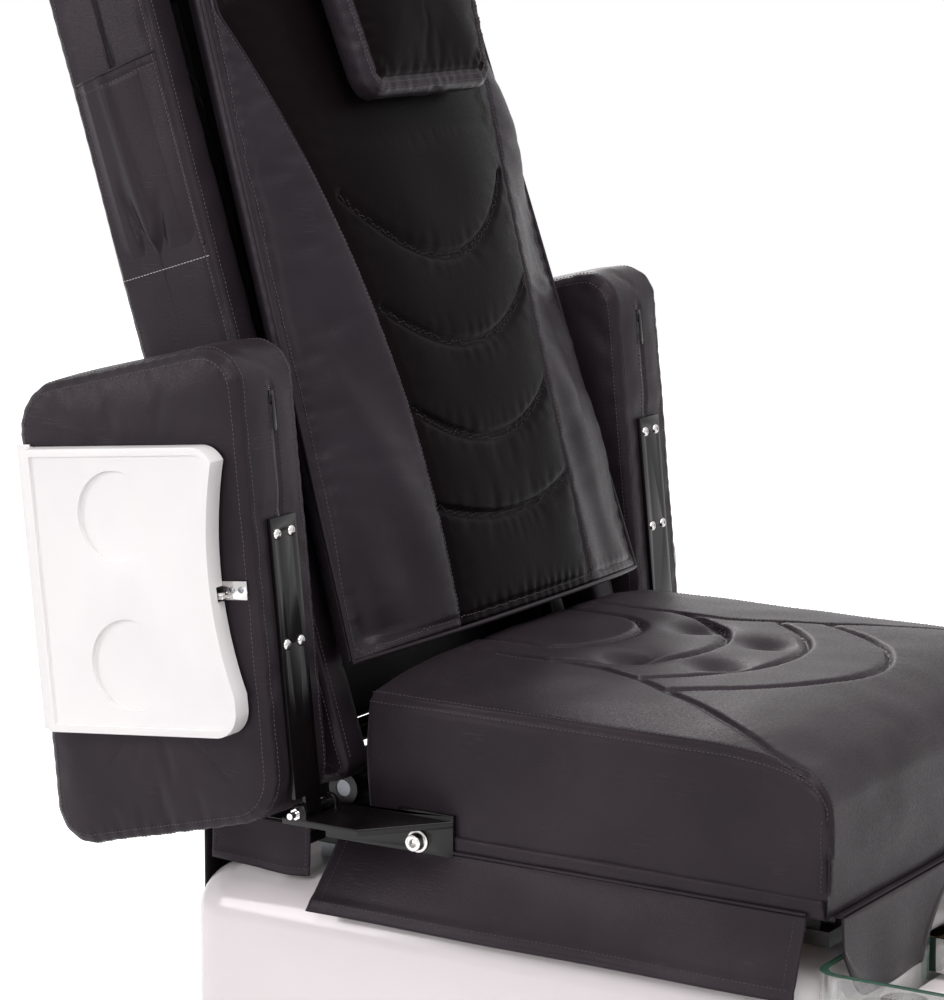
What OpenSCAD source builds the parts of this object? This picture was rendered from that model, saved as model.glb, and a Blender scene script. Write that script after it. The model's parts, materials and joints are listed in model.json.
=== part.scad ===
// Pedicure spa chair: a padded massage chair with lift-up arms and folding trays,
// on a moulded pedestal with a glass foot basin. Millimetres, +Z up.
// The origin is on the floor in the middle of the base. The sitter faces -Y,
// so the sitter's right hand is at -X.

/* [Base] */
// Length of the base, front to back
base_l = 1200; // [1120:10:1300]
// Width of the pedestal
base_w = 600; // [560:10:640]
// Height of the pedestal's flat top
base_h = 452; // [420:1:480]
// Distance from the base's rear to the pedestal's front wall
pedestal_l = 664; // [620:1:700]
// Height of the platform that carries the basin
platform_h = 190; // [160:1:220]
// Radius of the pedestal's top edge
shoulder_r = 50; // [30:1:60]
// Radius of the base's upright corners
corner_r = 60; // [50:1:80]

/* [Basin] */
// Width of the glass basin
basin_w = 590; // [560:1:600]
// Height of the basin's rim above the floor
basin_rim_z = 459; // [440:1:480]
// Thickness of the glass
glass_t = 8; // [6:0.5:12]
// Radius of the drain hole
drain_r = 24; // [18:1:30]

/* [Seat] */
// Width of the seat cushion
seat_w = 548; // [500:1:600]
// Length of the seat cushion
seat_l = 470; // [430:1:476]
// Height of the seat pan's underside above the floor
seat_z = 500; // [496:1:520]
// Thickness of the plywood seat pan
pan_t = 18; // [12:1:24]
// Height of the cushion's sewn edge above the pan's underside
seat_edge_h = 139; // [110:1:150]
// Rise of the cushion's crown above its sewn edge
seat_crown = 17; // [8:1:18]
// Travel of the seat along its rails
seat_travel = 100; // [60:10:120]

/* [Back] */
// Lean of the back from upright, in degrees
back_lean = 17.6; // [14:0.1:20]
// Width of the back over its side panels
back_w = 540; // [500:1:548]
// Thickness of a padded side panel
side_t = 40; // [30:1:50]
// Depth of the back, front to rear
back_d = 112; // [104:1:130]
// Length of the back above the seat's edge
back_l = 770; // [700:1:800]
// Width of the massage cover at its lower edge
cover_w = 530; // [480:1:536]
// Width of the head pillow at its lower edge
pillow_w = 210; // [180:1:240]

/* [Arms] */
// Lean of the raised arms from upright, in degrees
arm_lean = 5.86; // [4:0.01:8]
// Distance between the middles of the two arms
arm_pitch = 680; // [672:1:700]
// Thickness of an arm pad
arm_t = 97; // [80:1:98]
// Length of an arm pad
arm_l = 435; // [400:1:450]
// Depth of an arm pad
arm_d = 255; // [250:1:270]

/* [Trays] */
// Length of a tray along the arm
tray_l = 264; // [240:1:280]
// Width of a tray from its hinge to its free edge
tray_w = 216; // [200:1:218]
// Thickness of a tray over its rim
tray_t = 20; // [19.5:0.5:24]
// Radius of a cup recess
cup_r = 42.5; // [36:0.5:45]
// Depth of a cup recess
cup_depth = 5; // [4.5:0.5:6]

/* [Hidden] */
$fn = 48;

// Gap between soft solids and their neighbours, and between parts that slide
gap = 0.3;
// Radial running clearance of a pin in its hole
run = 0.05;
// Places where one part is laid through another, so that a cut goes right through
cut = 1;

base_rear = base_l / 2;
base_front = -base_l / 2;
wall_y = base_rear - pedestal_l;
pan_z = seat_z + pan_t;

// Colours
white_gel = "#ece4e6";
white_plastic = "#f4f3f2";
leather = "#2b262b";
leather_dark = "#1c1818";
steel_black = "#18171a";
chrome = "#c9cbd0";
steel = "#8e9196";
glass_green = "#7fa893";

// ---------- helpers ----------

// A rounded rectangle of true arcs
module rounded(w, l, r) {
  square([w - 2 * r, l], center = true);
  square([w, l - 2 * r], center = true);
  for (x = [-1, 1], y = [-1, 1]) translate([x * (w / 2 - r), y * (l / 2 - r)]) circle(r);
}

// Draws its children on the sitter's right, or mirrored on the left
module on_side(left) {
  if (left) mirror([1, 0, 0]) children();
  else children();
}

// A cylinder along +X
module rod_x(r, l) {
  rotate([0, 90, 0]) cylinder(r = r, h = l);
}

// Places children in the arm's frame: X across, Y from front to rear, Z up the arm
arm_y = base_rear - 119;
arm_z = 940;
module arm_frame() {
  translate([0, arm_y, arm_z]) rotate([-arm_lean, 0, 0]) children();
}

// Places children in the back's frame: X across, Y rearwards through the back, Z up the back
back_y = base_rear - 150;
back_z = seat_z + seat_edge_h + 1;
module back_frame_place() {
  translate([0, back_y, back_z]) rotate([-back_lean, 0, 0]) children();
}

// Points of a rounded rectangle, anticlockwise, n points to each corner
function outline(w, l, r, n = 8) =
  [for (c = [0:3], i = [0:n])
    let(a = 90 * c + 90 * i / n,
        cx = (c == 0 || c == 3 ? 1 : -1) * (w / 2 - r),
        cy = (c < 2 ? 1 : -1) * (l / 2 - r))
    [cx + r * cos(a), cy + r * sin(a)]];

// A closed solid through a list of rings that all have the same number of points
module lofted(rings) {
  n = len(rings[0]);
  m = len(rings);
  first = [for (k = [0:2]) [for (p = rings[0]) p[k]] * [for (p = rings[0]) 1] / n];
  last = [for (k = [0:2]) [for (p = rings[m - 1]) p[k]] * [for (p = rings[0]) 1] / n];
  walls = [for (j = [0:m - 2], i = [0:n - 1])
    let(k = (i + 1) % n, a = j * n + i, b = j * n + k, c = a + n, d = b + n)
    each [[a, c, b], [b, c, d]]];
  cap_a = [for (i = [0:n - 1]) [m * n, i, (i + 1) % n]];
  cap_b = [for (i = [0:n - 1]) [m * n + 1, (m - 1) * n + (i + 1) % n, (m - 1) * n + i]];
  polyhedron(points = concat([for (r = rings) each r], [first, last]),
             faces = concat(walls, cap_a, cap_b));
}

// A pad: a sewn face given as a grid of (nu + 1) x (nv + 1) points, closed by rings behind it
function edge_index(nu, nv) = concat(
  [for (i = [0:nu - 1]) i],
  [for (j = [0:nv - 1]) j * (nu + 1) + nu],
  [for (i = [nu:-1:1]) nv * (nu + 1) + i],
  [for (j = [nv:-1:1]) j * (nu + 1)]);
module pad(face, nu, nv, rings) {
  edge = edge_index(nu, nv);
  n = len(edge);
  g = len(face);
  m = len(rings);
  centre = [for (k = [0:2]) [for (p = rings[m - 1]) p[k]] * [for (p = rings[m - 1]) 1] / n];
  top = [for (j = [0:nv - 1], i = [0:nu - 1])
    let(a = j * (nu + 1) + i, b = a + 1, c = a + nu + 1, d = c + 1)
    each [[a, b, d], [a, d, c]]];
  function at(k, i) = k < 0 ? edge[i % n] : g + k * n + i % n;
  walls = [for (k = [-1:m - 2], i = [0:n - 1])
    each [[at(k, i), at(k + 1, i), at(k, i + 1)], [at(k, i + 1), at(k + 1, i), at(k + 1, i + 1)]]];
  base = [for (i = [0:n - 1]) [g + m * n, at(m - 1, i + 1), at(m - 1, i)]];
  faces = [for (f = concat(top, walls, base)) [f[0], f[2], f[1]]];
  polyhedron(points = concat(face, [for (r = rings) each r], [centre]), faces = faces);
}

// A sheet of even thickness along t, given as a grid of points
module sheet(grid, nu, nv, t) {
  edge = edge_index(nu, nv);
  n = len(edge);
  g = len(grid);
  top = [for (j = [0:nv - 1], i = [0:nu - 1])
    let(a = j * (nu + 1) + i, b = a + 1, c = a + nu + 1, d = c + 1)
    each [[a, b, d], [a, d, c]]];
  under = [for (f = top) [f[0] + g, f[2] + g, f[1] + g]];
  rim = [for (i = [0:n - 1]) let(a = edge[i], b = edge[(i + 1) % n]) each [[a, a + g, b], [b, a + g, b + g]]];
  polyhedron(points = concat(grid, [for (p = grid) p + t]),
             faces = [for (f = concat(top, under, rim)) [f[0], f[2], f[1]]]);
}

// A soft bump of height 1 at d = 0 that fades over width w
function bump(d, w) = exp(-pow(d / w, 2));

// ---------- base ----------

module base_shell() color(white_gel) {
  base_moulding();
  // Rib across the shell, for the middle foot
  translate([-base_w / 2 + 15, -6, 4]) cube([base_w - 30, 12, 120]);
}
module base_moulding() difference() {
  union() {
    hull() {
      for (x = [-1, 1], y = [wall_y, base_rear]) {
        inward = y == wall_y ? 1 : -1;
        translate([x * (base_w / 2 - corner_r), y + inward * corner_r, 4])
          cylinder(r = corner_r, h = base_h / 2, $fn = 32);
        translate([x * (base_w / 2 - shoulder_r), y + (y == wall_y ? 8 : -shoulder_r), base_h - shoulder_r])
          sphere(r = y == wall_y ? 8 : shoulder_r, $fn = 32);
        translate([x * (base_w / 2 - shoulder_r), y + inward * shoulder_r, base_h - shoulder_r])
          sphere(r = shoulder_r, $fn = 32);
      }
    }
    translate([0, (base_front + wall_y) / 2 + 40, 4]) linear_extrude(platform_h - 4)
      rounded(basin_w + 30, wall_y - base_front + 80, corner_r);
  }
  // The pedestal is a moulded shell, open underneath
  translate([0, (wall_y + base_rear) / 2, -cut]) linear_extrude(base_h - 11) rounded(base_w - 60, pedestal_l - 60, 30);
  translate([0, (base_front + wall_y) / 2, -cut]) linear_extrude(platform_h - 11)
    rounded(basin_w - 30, wall_y - base_front - 60, 30);
  // Drain passage
  translate([0, basin_y, platform_h - 30]) cylinder(r = drain_r + 8, h = 60);
}

foot_r = 22;
module levelling_feet() color(steel_black) {
  for (x = [-1, 1], y = [base_front + corner_r, wall_y + 40, base_rear - corner_r])
    translate([x * (base_w / 2 - 15), y, 0]) cylinder(r = foot_r / 2, h = 4);
  cylinder(r = foot_r, h = 4);
}

basin_l = wall_y - base_front - 12;
basin_y = (wall_y - 2) - basin_l / 2;
notch_w = 132;
module glass_basin() color(glass_green) difference() {
  translate([0, basin_y, platform_h]) linear_extrude(basin_rim_z - platform_h) rounded(basin_w, basin_l, 24);
  translate([0, basin_y, platform_h + glass_t + 2]) linear_extrude(basin_rim_z)
    rounded(basin_w - 2 * glass_t, basin_l - 2 * glass_t, 24 - glass_t);
  translate([0, basin_y, platform_h - cut]) cylinder(r = drain_r, h = 30);
  // Notch for the spout in the rear wall
  translate([-notch_w / 2, wall_y - 2 - 2 * glass_t, spout_z - 6]) cube([notch_w, 3 * glass_t, 200]);
  // Hole for the jet's shaft
  translate([0, wall_y + 20, jet_z]) rotate([90, 0, 0]) cylinder(r = jet_shaft_r + 2, h = 60);
}

floor_z = platform_h + glass_t + 2;
module basin_drain() color(chrome) translate([0, basin_y, 0]) difference() {
  union() {
    translate([0, 0, platform_h - 60]) cylinder(r = drain_r - 0.5, h = floor_z - platform_h + 60);
    translate([0, 0, floor_z]) cylinder(r = drain_r + 10, h = 2);
  }
  translate([0, 0, platform_h - 60 - cut]) cylinder(r = drain_r - 4, h = 100);
}

stopper_lift = 12;
module drain_stopper() color(chrome) translate([0, basin_y, floor_z + 2]) {
  translate([0, 0, gap]) cylinder(r = drain_r - 1, h = 3);
  translate([0, 0, 3]) cylinder(r = 5, h = 9);
  translate([0, 0, -20]) cylinder(r = drain_r - 4 - 0.08, h = 20 + gap);
}

spout_z = 396;
spout_h = 34;
spout_w = 120;
module spout() color(chrome) translate([0, wall_y, spout_z]) difference() {
  union() {
    translate([-spout_w / 2, -52, 0]) cube([spout_w, 52, spout_h - 17]);
    intersection() {
      translate([-spout_w / 2, -35, spout_h - 17]) rod_x(17, spout_w);
      translate([-spout_w / 2, -52, spout_h - 17]) cube([spout_w, 52, 17]);
    }
    translate([-spout_w / 2, -35, spout_h - 17 - gap]) cube([spout_w, 35, 17 + gap]);
  }
  translate([-spout_w / 2 + 5, -52 - cut, 5]) cube([spout_w - 10, 40, 9]);
}

module spout_housing() color(white_gel)
  translate([-92, wall_y - 2 - glass_t - 26, spout_z - 66]) difference() {
    cube([184, 26, 60]);
    translate([8, -cut, -cut]) cube([168, 18, 44]);
  }

// Mixer tap and hand spray stand on the pedestal's wall, left and right of the spout
tap_x = 190;
tap_z = 360;
module mixer_body() color(chrome) translate([tap_x, wall_y - 2 - glass_t, tap_z]) rotate([90, 0, 0]) {
  cylinder(r = 24, h = 5);
  cylinder(r = 15, h = 30);
}
lever_y = wall_y - 2 - glass_t - 30 - gap;
module mixer_lever() color(chrome) translate([tap_x, lever_y, tap_z]) {
  rotate([90, 0, 0]) cylinder(r = 17, h = 16);
  translate([-5, -14, 0]) cube([10, 10, 50]);
}

spray_z = 372;
spray_reach = 33;
module spray_holder() color(chrome) translate([-tap_x, wall_y - 2 - glass_t, spray_z]) difference() {
  union() {
    rotate([90, 0, 0]) cylinder(r = 14, h = 17);
    translate([0, -spray_reach, -12]) cylinder(r = 18, h = 24);
  }
  translate([0, -spray_reach, -13]) cylinder(r = 12 + run, h = 40);
}
module spray_handset() color(chrome) translate([-tap_x, wall_y - 2 - glass_t - spray_reach, spray_z]) {
  translate([0, 0, -60]) cylinder(r = 12, h = 72 + gap);
  translate([0, 0, 12 + gap]) cylinder(r = 15, h = 14);
  translate([0, 0, 26]) cylinder(r = 21, h = 14);
}

jet_z = 262;
jet_shaft_r = 4;
module jet_cover() color(white_plastic) translate([0, wall_y - 2 - glass_t, jet_z]) rotate([90, 0, 0]) {
  difference() {
    cylinder(r = 44, h = 26);
    translate([0, 0, -cut]) cylinder(r = 40, h = 24);
    for (a = [0:45:315]) rotate([0, 0, a]) translate([24, 0, 20]) cylinder(r = 6, h = 10);
    translate([0, 0, 20]) cylinder(r = 6, h = 10);
  }
}
module jet_impeller() color(steel) translate([0, wall_y - 2 - glass_t, jet_z]) rotate([90, 0, 0]) {
  translate([0, 0, 4]) cylinder(r = 10, h = 14);
  for (a = [0:60:300]) rotate([0, 0, a]) translate([8, -1.5, 6]) cube([26, 3, 10]);
  translate([0, 0, -10]) cylinder(r = jet_shaft_r, h = 18);
}

// The footrest stands on the platform inside the basin's front
rest_y = base_front + 100;
rest_z = 470;
module footrest_bracket() color(chrome) {
  for (x = [-1, 1]) {
    translate([x * 90, rest_y, floor_z]) cylinder(r = 24, h = 5);
    translate([x * 90, rest_y, floor_z]) cylinder(r = 11, h = rest_z - floor_z - 20);
    translate([x * 90 - 5, rest_y - 14, rest_z - 24]) cube([10, 28, 24]);
    translate([x * 90 - 5, rest_y, rest_z]) rod_x(14, 10);
  }
  translate([-84.7, rest_y, rest_z]) rod_x(8, 169.4);
}
rest_w = 320;
rest_d = 120;
rest_t = 44;
module footrest_pad() color(leather) {
  difference() {
    for (x = [-55, 55]) {
      translate([x - 12, rest_y, rest_z]) rod_x(13, 24);
      translate([x - 12, rest_y - 13, rest_z]) cube([24, 26, 18]);
    }
    translate([-70, rest_y, rest_z]) rod_x(8 + run, 140);
  }
  translate([0, rest_y, rest_z + 12]) lofted([
    for (k = [[0, -10], [2, 0], [rest_t * 0.6, 0], [rest_t * 0.85, -8], [rest_t, -28]])
      [for (p = outline(rest_w + 2 * k[1], rest_d + 2 * k[1], 30, 5)) [p[0], p[1], k[0] + 6]]]);
}

rail_x = 190;
rail_h = 14;
module slide_rails() color(steel) {
  for (x = [-1, 1]) translate([x * rail_x - 15, wall_y + 24, base_h]) cube([30, pedestal_l - 124, rail_h]);
}

skirt_t = 4;
skirt_top = 498;
module rear_skirt() color(leather) {
  translate([-256, base_rear + gap, 60]) cube([512, skirt_t, skirt_top - 60]);
}

// ---------- seat ----------

seat_front = wall_y - 7;
seat_rear = seat_front + seat_l;
frame_z = base_h + rail_h + gap;
pivot_n = 43;
pivot_s = -102;
pivot_y = back_y + pivot_s * sin(back_lean) + pivot_n * cos(back_lean);
pivot_z = back_z + pivot_s * cos(back_lean) - pivot_n * sin(back_lean);
pin_r = 8;
ear_x = 186;
module seat_carriage() color(steel_black) {
  h = seat_z - frame_z;
  for (x = [-1, 1]) translate([x * rail_x - 15, seat_front + 40, frame_z]) cube([30, pivot_y + 60 - seat_front - 40, h]);
  for (y = [seat_front + 60, act_front - 45, pivot_y + 30])
    translate([-rail_x, y, frame_z]) cube([2 * rail_x, 30, h]);
  // Ears that carry the back's pivots
  for (x = [-1, 1]) difference() {
    union() {
      translate([x * (ear_x + 3) - 3, pivot_y - 30, seat_z - 2]) cube([6, 60, pivot_z - seat_z + 2]);
      translate([x * (ear_x + 3) - 3, pivot_y, pivot_z]) rod_x(30, 6);
    }
    translate([x * (ear_x + 3) - 10, pivot_y, pivot_z]) rod_x(pin_r + run, 20);
  }
  // Clevis for the recline actuator
  for (x = [-12, 6]) translate([x, act_front - 16, frame_z]) cube([6, 15, h]);
}

bolt_y = base_rear - 258;
bolt_z = seat_z + pan_t / 2;
module seat_pan() color("#b08a5c") difference() {
  translate([-seat_w / 2 + 8, seat_front + 8, seat_z]) cube([seat_w - 16, seat_l - 12, pan_t]);
  for (x = [-1, 1]) translate([x * (seat_w / 2 - 20) - 15, bolt_y, bolt_z]) rod_x(5 + run, 30);
}

// Height of the seat's top at a place: a crown, four nested channels and four tufts
u_rings = [[203, 321, 4], [182, 233, 4], [130, 150, 3.5], [80, 58, 3]];
tufts = [[-55, 155], [50, 155], [-75, 242], [75, 242]];
u_rear = seat_rear - 60;
function u_dist(x, y, u) =
  let(dy = u_rear - y)
  dy > 0 ? abs(norm([x / u[0], dy / u[1]]) - 1) * (u[0] + u[1]) / 2 : abs(abs(x) - u[0]);
function seat_top(x, y) =
  let(fx = 1 - pow(abs(2 * x / seat_w), 4),
      fy = 1 - pow(max(0, 1 - (y - seat_front) / 120), 2.4))
  seat_z + seat_edge_h - 20 * (1 - fy) + seat_crown * fx * fy
    - sum([for (u = u_rings) u[2] * bump(u_dist(x, y, u), 12)])
    - sum([for (t = tufts) 5 * bump(norm([x - t[0], y - t[1]]), 22)]);
function sum(v, i = 0) = i < len(v) ? v[i] + sum(v, i + 1) : 0;

seat_nx = 26;
seat_ny = 24;
module seat_cushion() color(leather) {
  face = [for (j = [0:seat_ny], i = [0:seat_nx])
    let(x = seat_w * (i / seat_nx - 0.5), y = seat_front + seat_l * j / seat_ny)
    [x, y, seat_top(x, y)]];
  rim = [for (k = edge_index(seat_nx, seat_ny)) face[k]];
  mid_z = (pan_z + seat_z + seat_edge_h) / 2;
  inset = 3;
  mid = [for (p = rim) [p[0], max(p[1], seat_front), mid_z]];
  low = [for (p = rim) [p[0] * (1 - 2 * inset / seat_w), p[1] + (p[1] < 0 ? inset : 0), pan_z + gap]];
  pad(face, seat_nx, seat_ny, [mid, low]);
}

// ---------- flaps that hide the gap under the seat ----------

flap_t = 2.4;
flap_top = 497;
// A side flap hangs from the seat's lower edge and flares out over the base in soft waves
module side_flaps() color(leather) {
  nu = 28;
  nv = 6;
  y0 = seat_front + 18;
  y1 = base_rear - 170;
  flare = 43 + max(0, (base_w - seat_w) / 2 - 26);
  grid = [for (j = [0:nv], i = [0:nu])
    let(v = j / nv, u = i / nu,
        x = seat_w / 2 + 3.5 + flare * pow(v, 1.2) + 2.5 * v * sin(u * 900) + 1.5 * v * cos(u * 1700))
    [-x - flap_t, y0 + (y1 - y0 + 20 * v) * u - 10 * v, flap_top - 60 * v]];
  for (left = [false, true]) on_side(left) sheet(grid, nu, nv, [flap_t, 0, 0]);
}

module rear_flaps() color(leather) {
  nu = 8;
  nv = 4;
  grid = [for (j = [0:nv], i = [0:nu])
    [-seat_w / 2 - 1 - flap_t - 1.5 * (j / nv) * (1 + sin(i / nu * 540)), base_rear - 137 + 112 * i / nu, 506 - 50 * j / nv]];
  for (left = [false, true]) on_side(left) {
    sheet(grid, nu, nv, [flap_t, 0, 0]);
    // Strap that carries the flap from the seat's frame
    translate([-seat_w / 2 - 1, pivot_y + 34, frame_z + 4]) cube([seat_w / 2 - rail_x - 14, 20, 12]);
  }
}

// The front flap hangs inside the basin's rear wall and is cut away over the spout
function flap_low(x) = let(a = abs(x))
  a < 92 ? 486 - 60 * pow(a / 92, 3) : a > 205 ? 417 + 52 * pow((a - 205) / 58, 2) : 417;
module front_flap() color(leather) {
  nu = 36;
  nv = 5;
  half = seat_w / 2 - 12;
  grid = [for (j = [0:nv], i = [0:nu])
    let(x = half * (2 * i / nu - 1), v = j / nv, low = flap_low(x))
    [x, seat_front - 5.5 - 1.2 * v * (1 + sin(x * 4)), flap_top + 2 - (flap_top + 2 - low) * v]];
  sheet(grid, nu, nv, [0, -flap_t, 0]);
  // Batten that holds the flap's top edge to the seat pan
  translate([-half + 12, seat_front - 5.2, flap_top - 2]) cube([2 * half - 24, 40, 5]);
}

// ---------- arm brackets ----------

strip_gap = 5.7;
arm_pivot_w = -13.3;
arm_pivot_a = -404.6;
arm_pivot_y = arm_y + arm_pivot_a * sin(arm_lean) + arm_pivot_w * cos(arm_lean);
arm_pivot_z = arm_z + arm_pivot_a * cos(arm_lean) - arm_pivot_w * sin(arm_lean);
arm_x = arm_pitch / 2;
arm_in = arm_x - arm_t / 2;
arm_out = arm_x + arm_t / 2;
plate_top = arm_pivot_z - strip_gap - gap;
flange_x = seat_w / 2 + 1;
flange_t = 5;
ear_t = 5;
ear_in = arm_x - 39;
ear_out = arm_x + 5;
arm_bolt_r = 3;
module arm_bracket() color(steel_black) difference() {
  y0 = bolt_y - 38;
  y1 = arm_pivot_y + 18;
  union() {
    translate([-flange_x - flange_t, y0, flap_top + 2 * gap]) cube([flange_t, y1 - y0, plate_top - flap_top - 2 * gap]);
    translate([-flange_x - flange_t, y0, plate_top - 6]) cube([flange_t, 60, 11]);
    translate([0, 0, plate_top - 6]) linear_extrude(6)
      polygon([[-flange_x, y0], [-flange_x - flange_t, y0], [-ear_out - ear_t, bolt_y + 20],
               [-ear_out - ear_t, y1], [-flange_x, y1]]);
    for (x = [-ear_in, -ear_out - ear_t]) {
      translate([x, arm_pivot_y, arm_pivot_z]) rod_x(8, ear_t);
      translate([x, arm_pivot_y - 8, plate_top - cut]) cube([ear_t, 16, arm_pivot_z - plate_top + cut]);
    }
  }
  translate([-ear_out - 20, arm_pivot_y, arm_pivot_z]) rod_x(arm_bolt_r + run, 120);
  translate([-flange_x - 20, bolt_y, bolt_z]) rod_x(5 + run, 40);
}
module arm_bracket_right() on_side(false) arm_bracket();
module arm_bracket_left() on_side(true) arm_bracket();

module bracket_bolts() color(chrome) for (left = [false, true]) on_side(left)
  translate([-flange_x - flange_t, bolt_y, bolt_z]) {
    rod_x(5, 26);
    translate([-1.5, 0, 0]) rod_x(11, 1.5);
    difference() {
      translate([-9.5, 0, 0]) rod_x(8, 8);
      translate([-10, 0, 0]) rotate([0, 90, 0]) cylinder(r = 4, h = 5, $fn = 6);
    }
  }

module arm_pivot_bolts() color(chrome) for (left = [false, true]) on_side(left)
  translate([0, arm_pivot_y, arm_pivot_z]) {
    translate([-ear_out - ear_t - 14, 0, 0]) rod_x(arm_bolt_r, ear_out + ear_t + 14 - ear_in + ear_t + 4);
    translate([-ear_out - ear_t - 5, 0, 0]) rotate([0, 90, 0]) cylinder(r = 5.5, h = 5, $fn = 6);
    translate([-ear_in + ear_t, 0, 0]) rotate([0, 90, 0]) cylinder(r = 5.5, h = 4, $fn = 6);
  }

// ---------- recline ----------

module recline_pins() color(steel) for (left = [false, true]) on_side(left)
  translate([-ear_x, pivot_y, pivot_z]) {
    translate([-40, 0, 0]) rod_x(pin_r, 40);
    rod_x(pin_r + 4, 5);
  }

recline = 30;
lever_r = 47.4;
eye_y = pivot_y + lever_r * sin(recline / 2);
eye_z = pivot_z - lever_r * cos(recline / 2);
act_rear = eye_y - 72;
act_front = act_rear - 220;
module actuator_body() color(steel) difference() {
  union() {
    translate([0, act_rear, eye_z]) rotate([90, 0, 0]) cylinder(r = 14, h = 220);
    translate([-5.7, act_front - 12, eye_z - 8]) cube([11.4, 14, 16]);
    // Gearmotor beside the tube
    translate([12, act_front + 40, eye_z - 13]) cube([70, 50, 26]);
  }
  translate([0, act_rear + cut, eye_z]) rotate([90, 0, 0]) cylinder(r = 7 + run, h = 120);
}
module actuator_rod() color(chrome) difference() {
  union() {
    translate([0, eye_y - 10, eye_z]) rotate([90, 0, 0]) cylinder(r = 7, h = 132);
    translate([-5, eye_y, eye_z]) rod_x(11, 10);
  }
  translate([-10, eye_y, eye_z]) rod_x(7, 20);
}

// ---------- arms: drawn on the sitter's right ----------

pad_w0 = -15 + gap;
pad_w = pad_w0 + arm_d / 2;
pad_a = -205;
arm_skew = 0.15;
module arm_pad() color(leather) arm_frame() {
  rings = [[0, -62], [0.3, -20], [1.4, -6], [4.5, -2], [10, 0], [arm_t - 10, 0],
           [arm_t - 4.5, -2], [arm_t - 1.4, -6], [arm_t - 0.3, -20], [arm_t, -62]];
  lofted([for (k = rings)
    [for (p = outline(arm_d + 2 * k[1], arm_l + 2 * k[1], 42 + k[1] * 0.5, 8))
      [-arm_out + k[0], pad_w + p[0], pad_a + p[1] - arm_skew * p[0]]]]);
}
module arm_pad_right() on_side(false) arm_pad();
module arm_pad_left() on_side(true) arm_pad();

strip_w = 40;
strip_t = 4;
strip_top = -132;
screw_a = [-147, -248];
screw_x = 11.2;
module arm_plate() color(steel_black) arm_frame() difference() {
  union() {
    translate([-arm_x - strip_w / 2, -15 - strip_t, arm_pivot_a + 15])
      cube([strip_w, strip_t, strip_top - arm_pivot_a - 15]);
    translate([-ear_out + gap, -15 - strip_t, arm_pivot_a]) cube([24, strip_t, 16]);
    translate([-ear_out + gap, arm_pivot_w, arm_pivot_a]) rod_x(5.5, ear_out - ear_in - 2 * gap);
  }
  translate([-ear_out - cut, arm_pivot_w, arm_pivot_a]) rod_x(arm_bolt_r + run, 60);
  for (a = screw_a, x = [-1, 1]) translate([-arm_x + x * screw_x, -14, a]) rotate([90, 0, 0]) cylinder(r = 2.55, h = 6);
}
module arm_plate_right() on_side(false) arm_plate();
module arm_plate_left() on_side(true) arm_plate();

// A dome head of radius r and its shank, standing on the plane at 0 and pointing along +Z
module dome_screw(r, shank) {
  difference() {
    translate([0, 0, r * 0.55 - r]) sphere(r, $fn = 24);
    translate([-r, -r, -2 * r]) cube([2 * r, 2 * r, 2 * r]);
  }
  translate([0, 0, -shank]) cylinder(r = r * 0.48, h = shank);
}

module plate_screws() color(chrome) arm_frame()
  for (a = screw_a, x = [-1, 1])
    translate([-arm_x + x * screw_x, -15 - strip_t, a]) rotate([90, 0, 0]) dome_screw(5.2, strip_t - 0.1);
module plate_screws_right() on_side(false) plate_screws();
module plate_screws_left() on_side(true) plate_screws();

// ---------- folding trays ----------

tray_in = arm_out + 2.5;
hinge_x = arm_out + 6;
hinge_w = 222;
tray_edge = hinge_w - 4.5;
tray_mid = tray_edge - tray_w / 2;
tray_a = -191.5;
lip = 7;
sink = 3;
wall_t = 4;
floor_t = 2.3;
scoop_r = 375;
scoop_w = 18;
knuckle_r = 4;
hinge_pin_r = 2;
knuckles = [tray_a - tray_l / 2, tray_a - 10, tray_a + tray_l / 2 - 20];
module tray_outline(inset) difference() {
  union() {
    translate([tray_mid, tray_a]) rounded(tray_w - 2 * inset, tray_l - 2 * inset, 24 - inset);
    translate([tray_edge - inset - 40, tray_a - tray_l / 2 + inset]) square([40, tray_l - 2 * inset]);
  }
  translate([scoop_w - scoop_r, tray_a + 16]) circle(scoop_r + inset, $fn = 120);
}
module on_arm(x, t) translate([x, 0, 0]) rotate([90, 0, 90]) linear_extrude(t) children();

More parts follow.
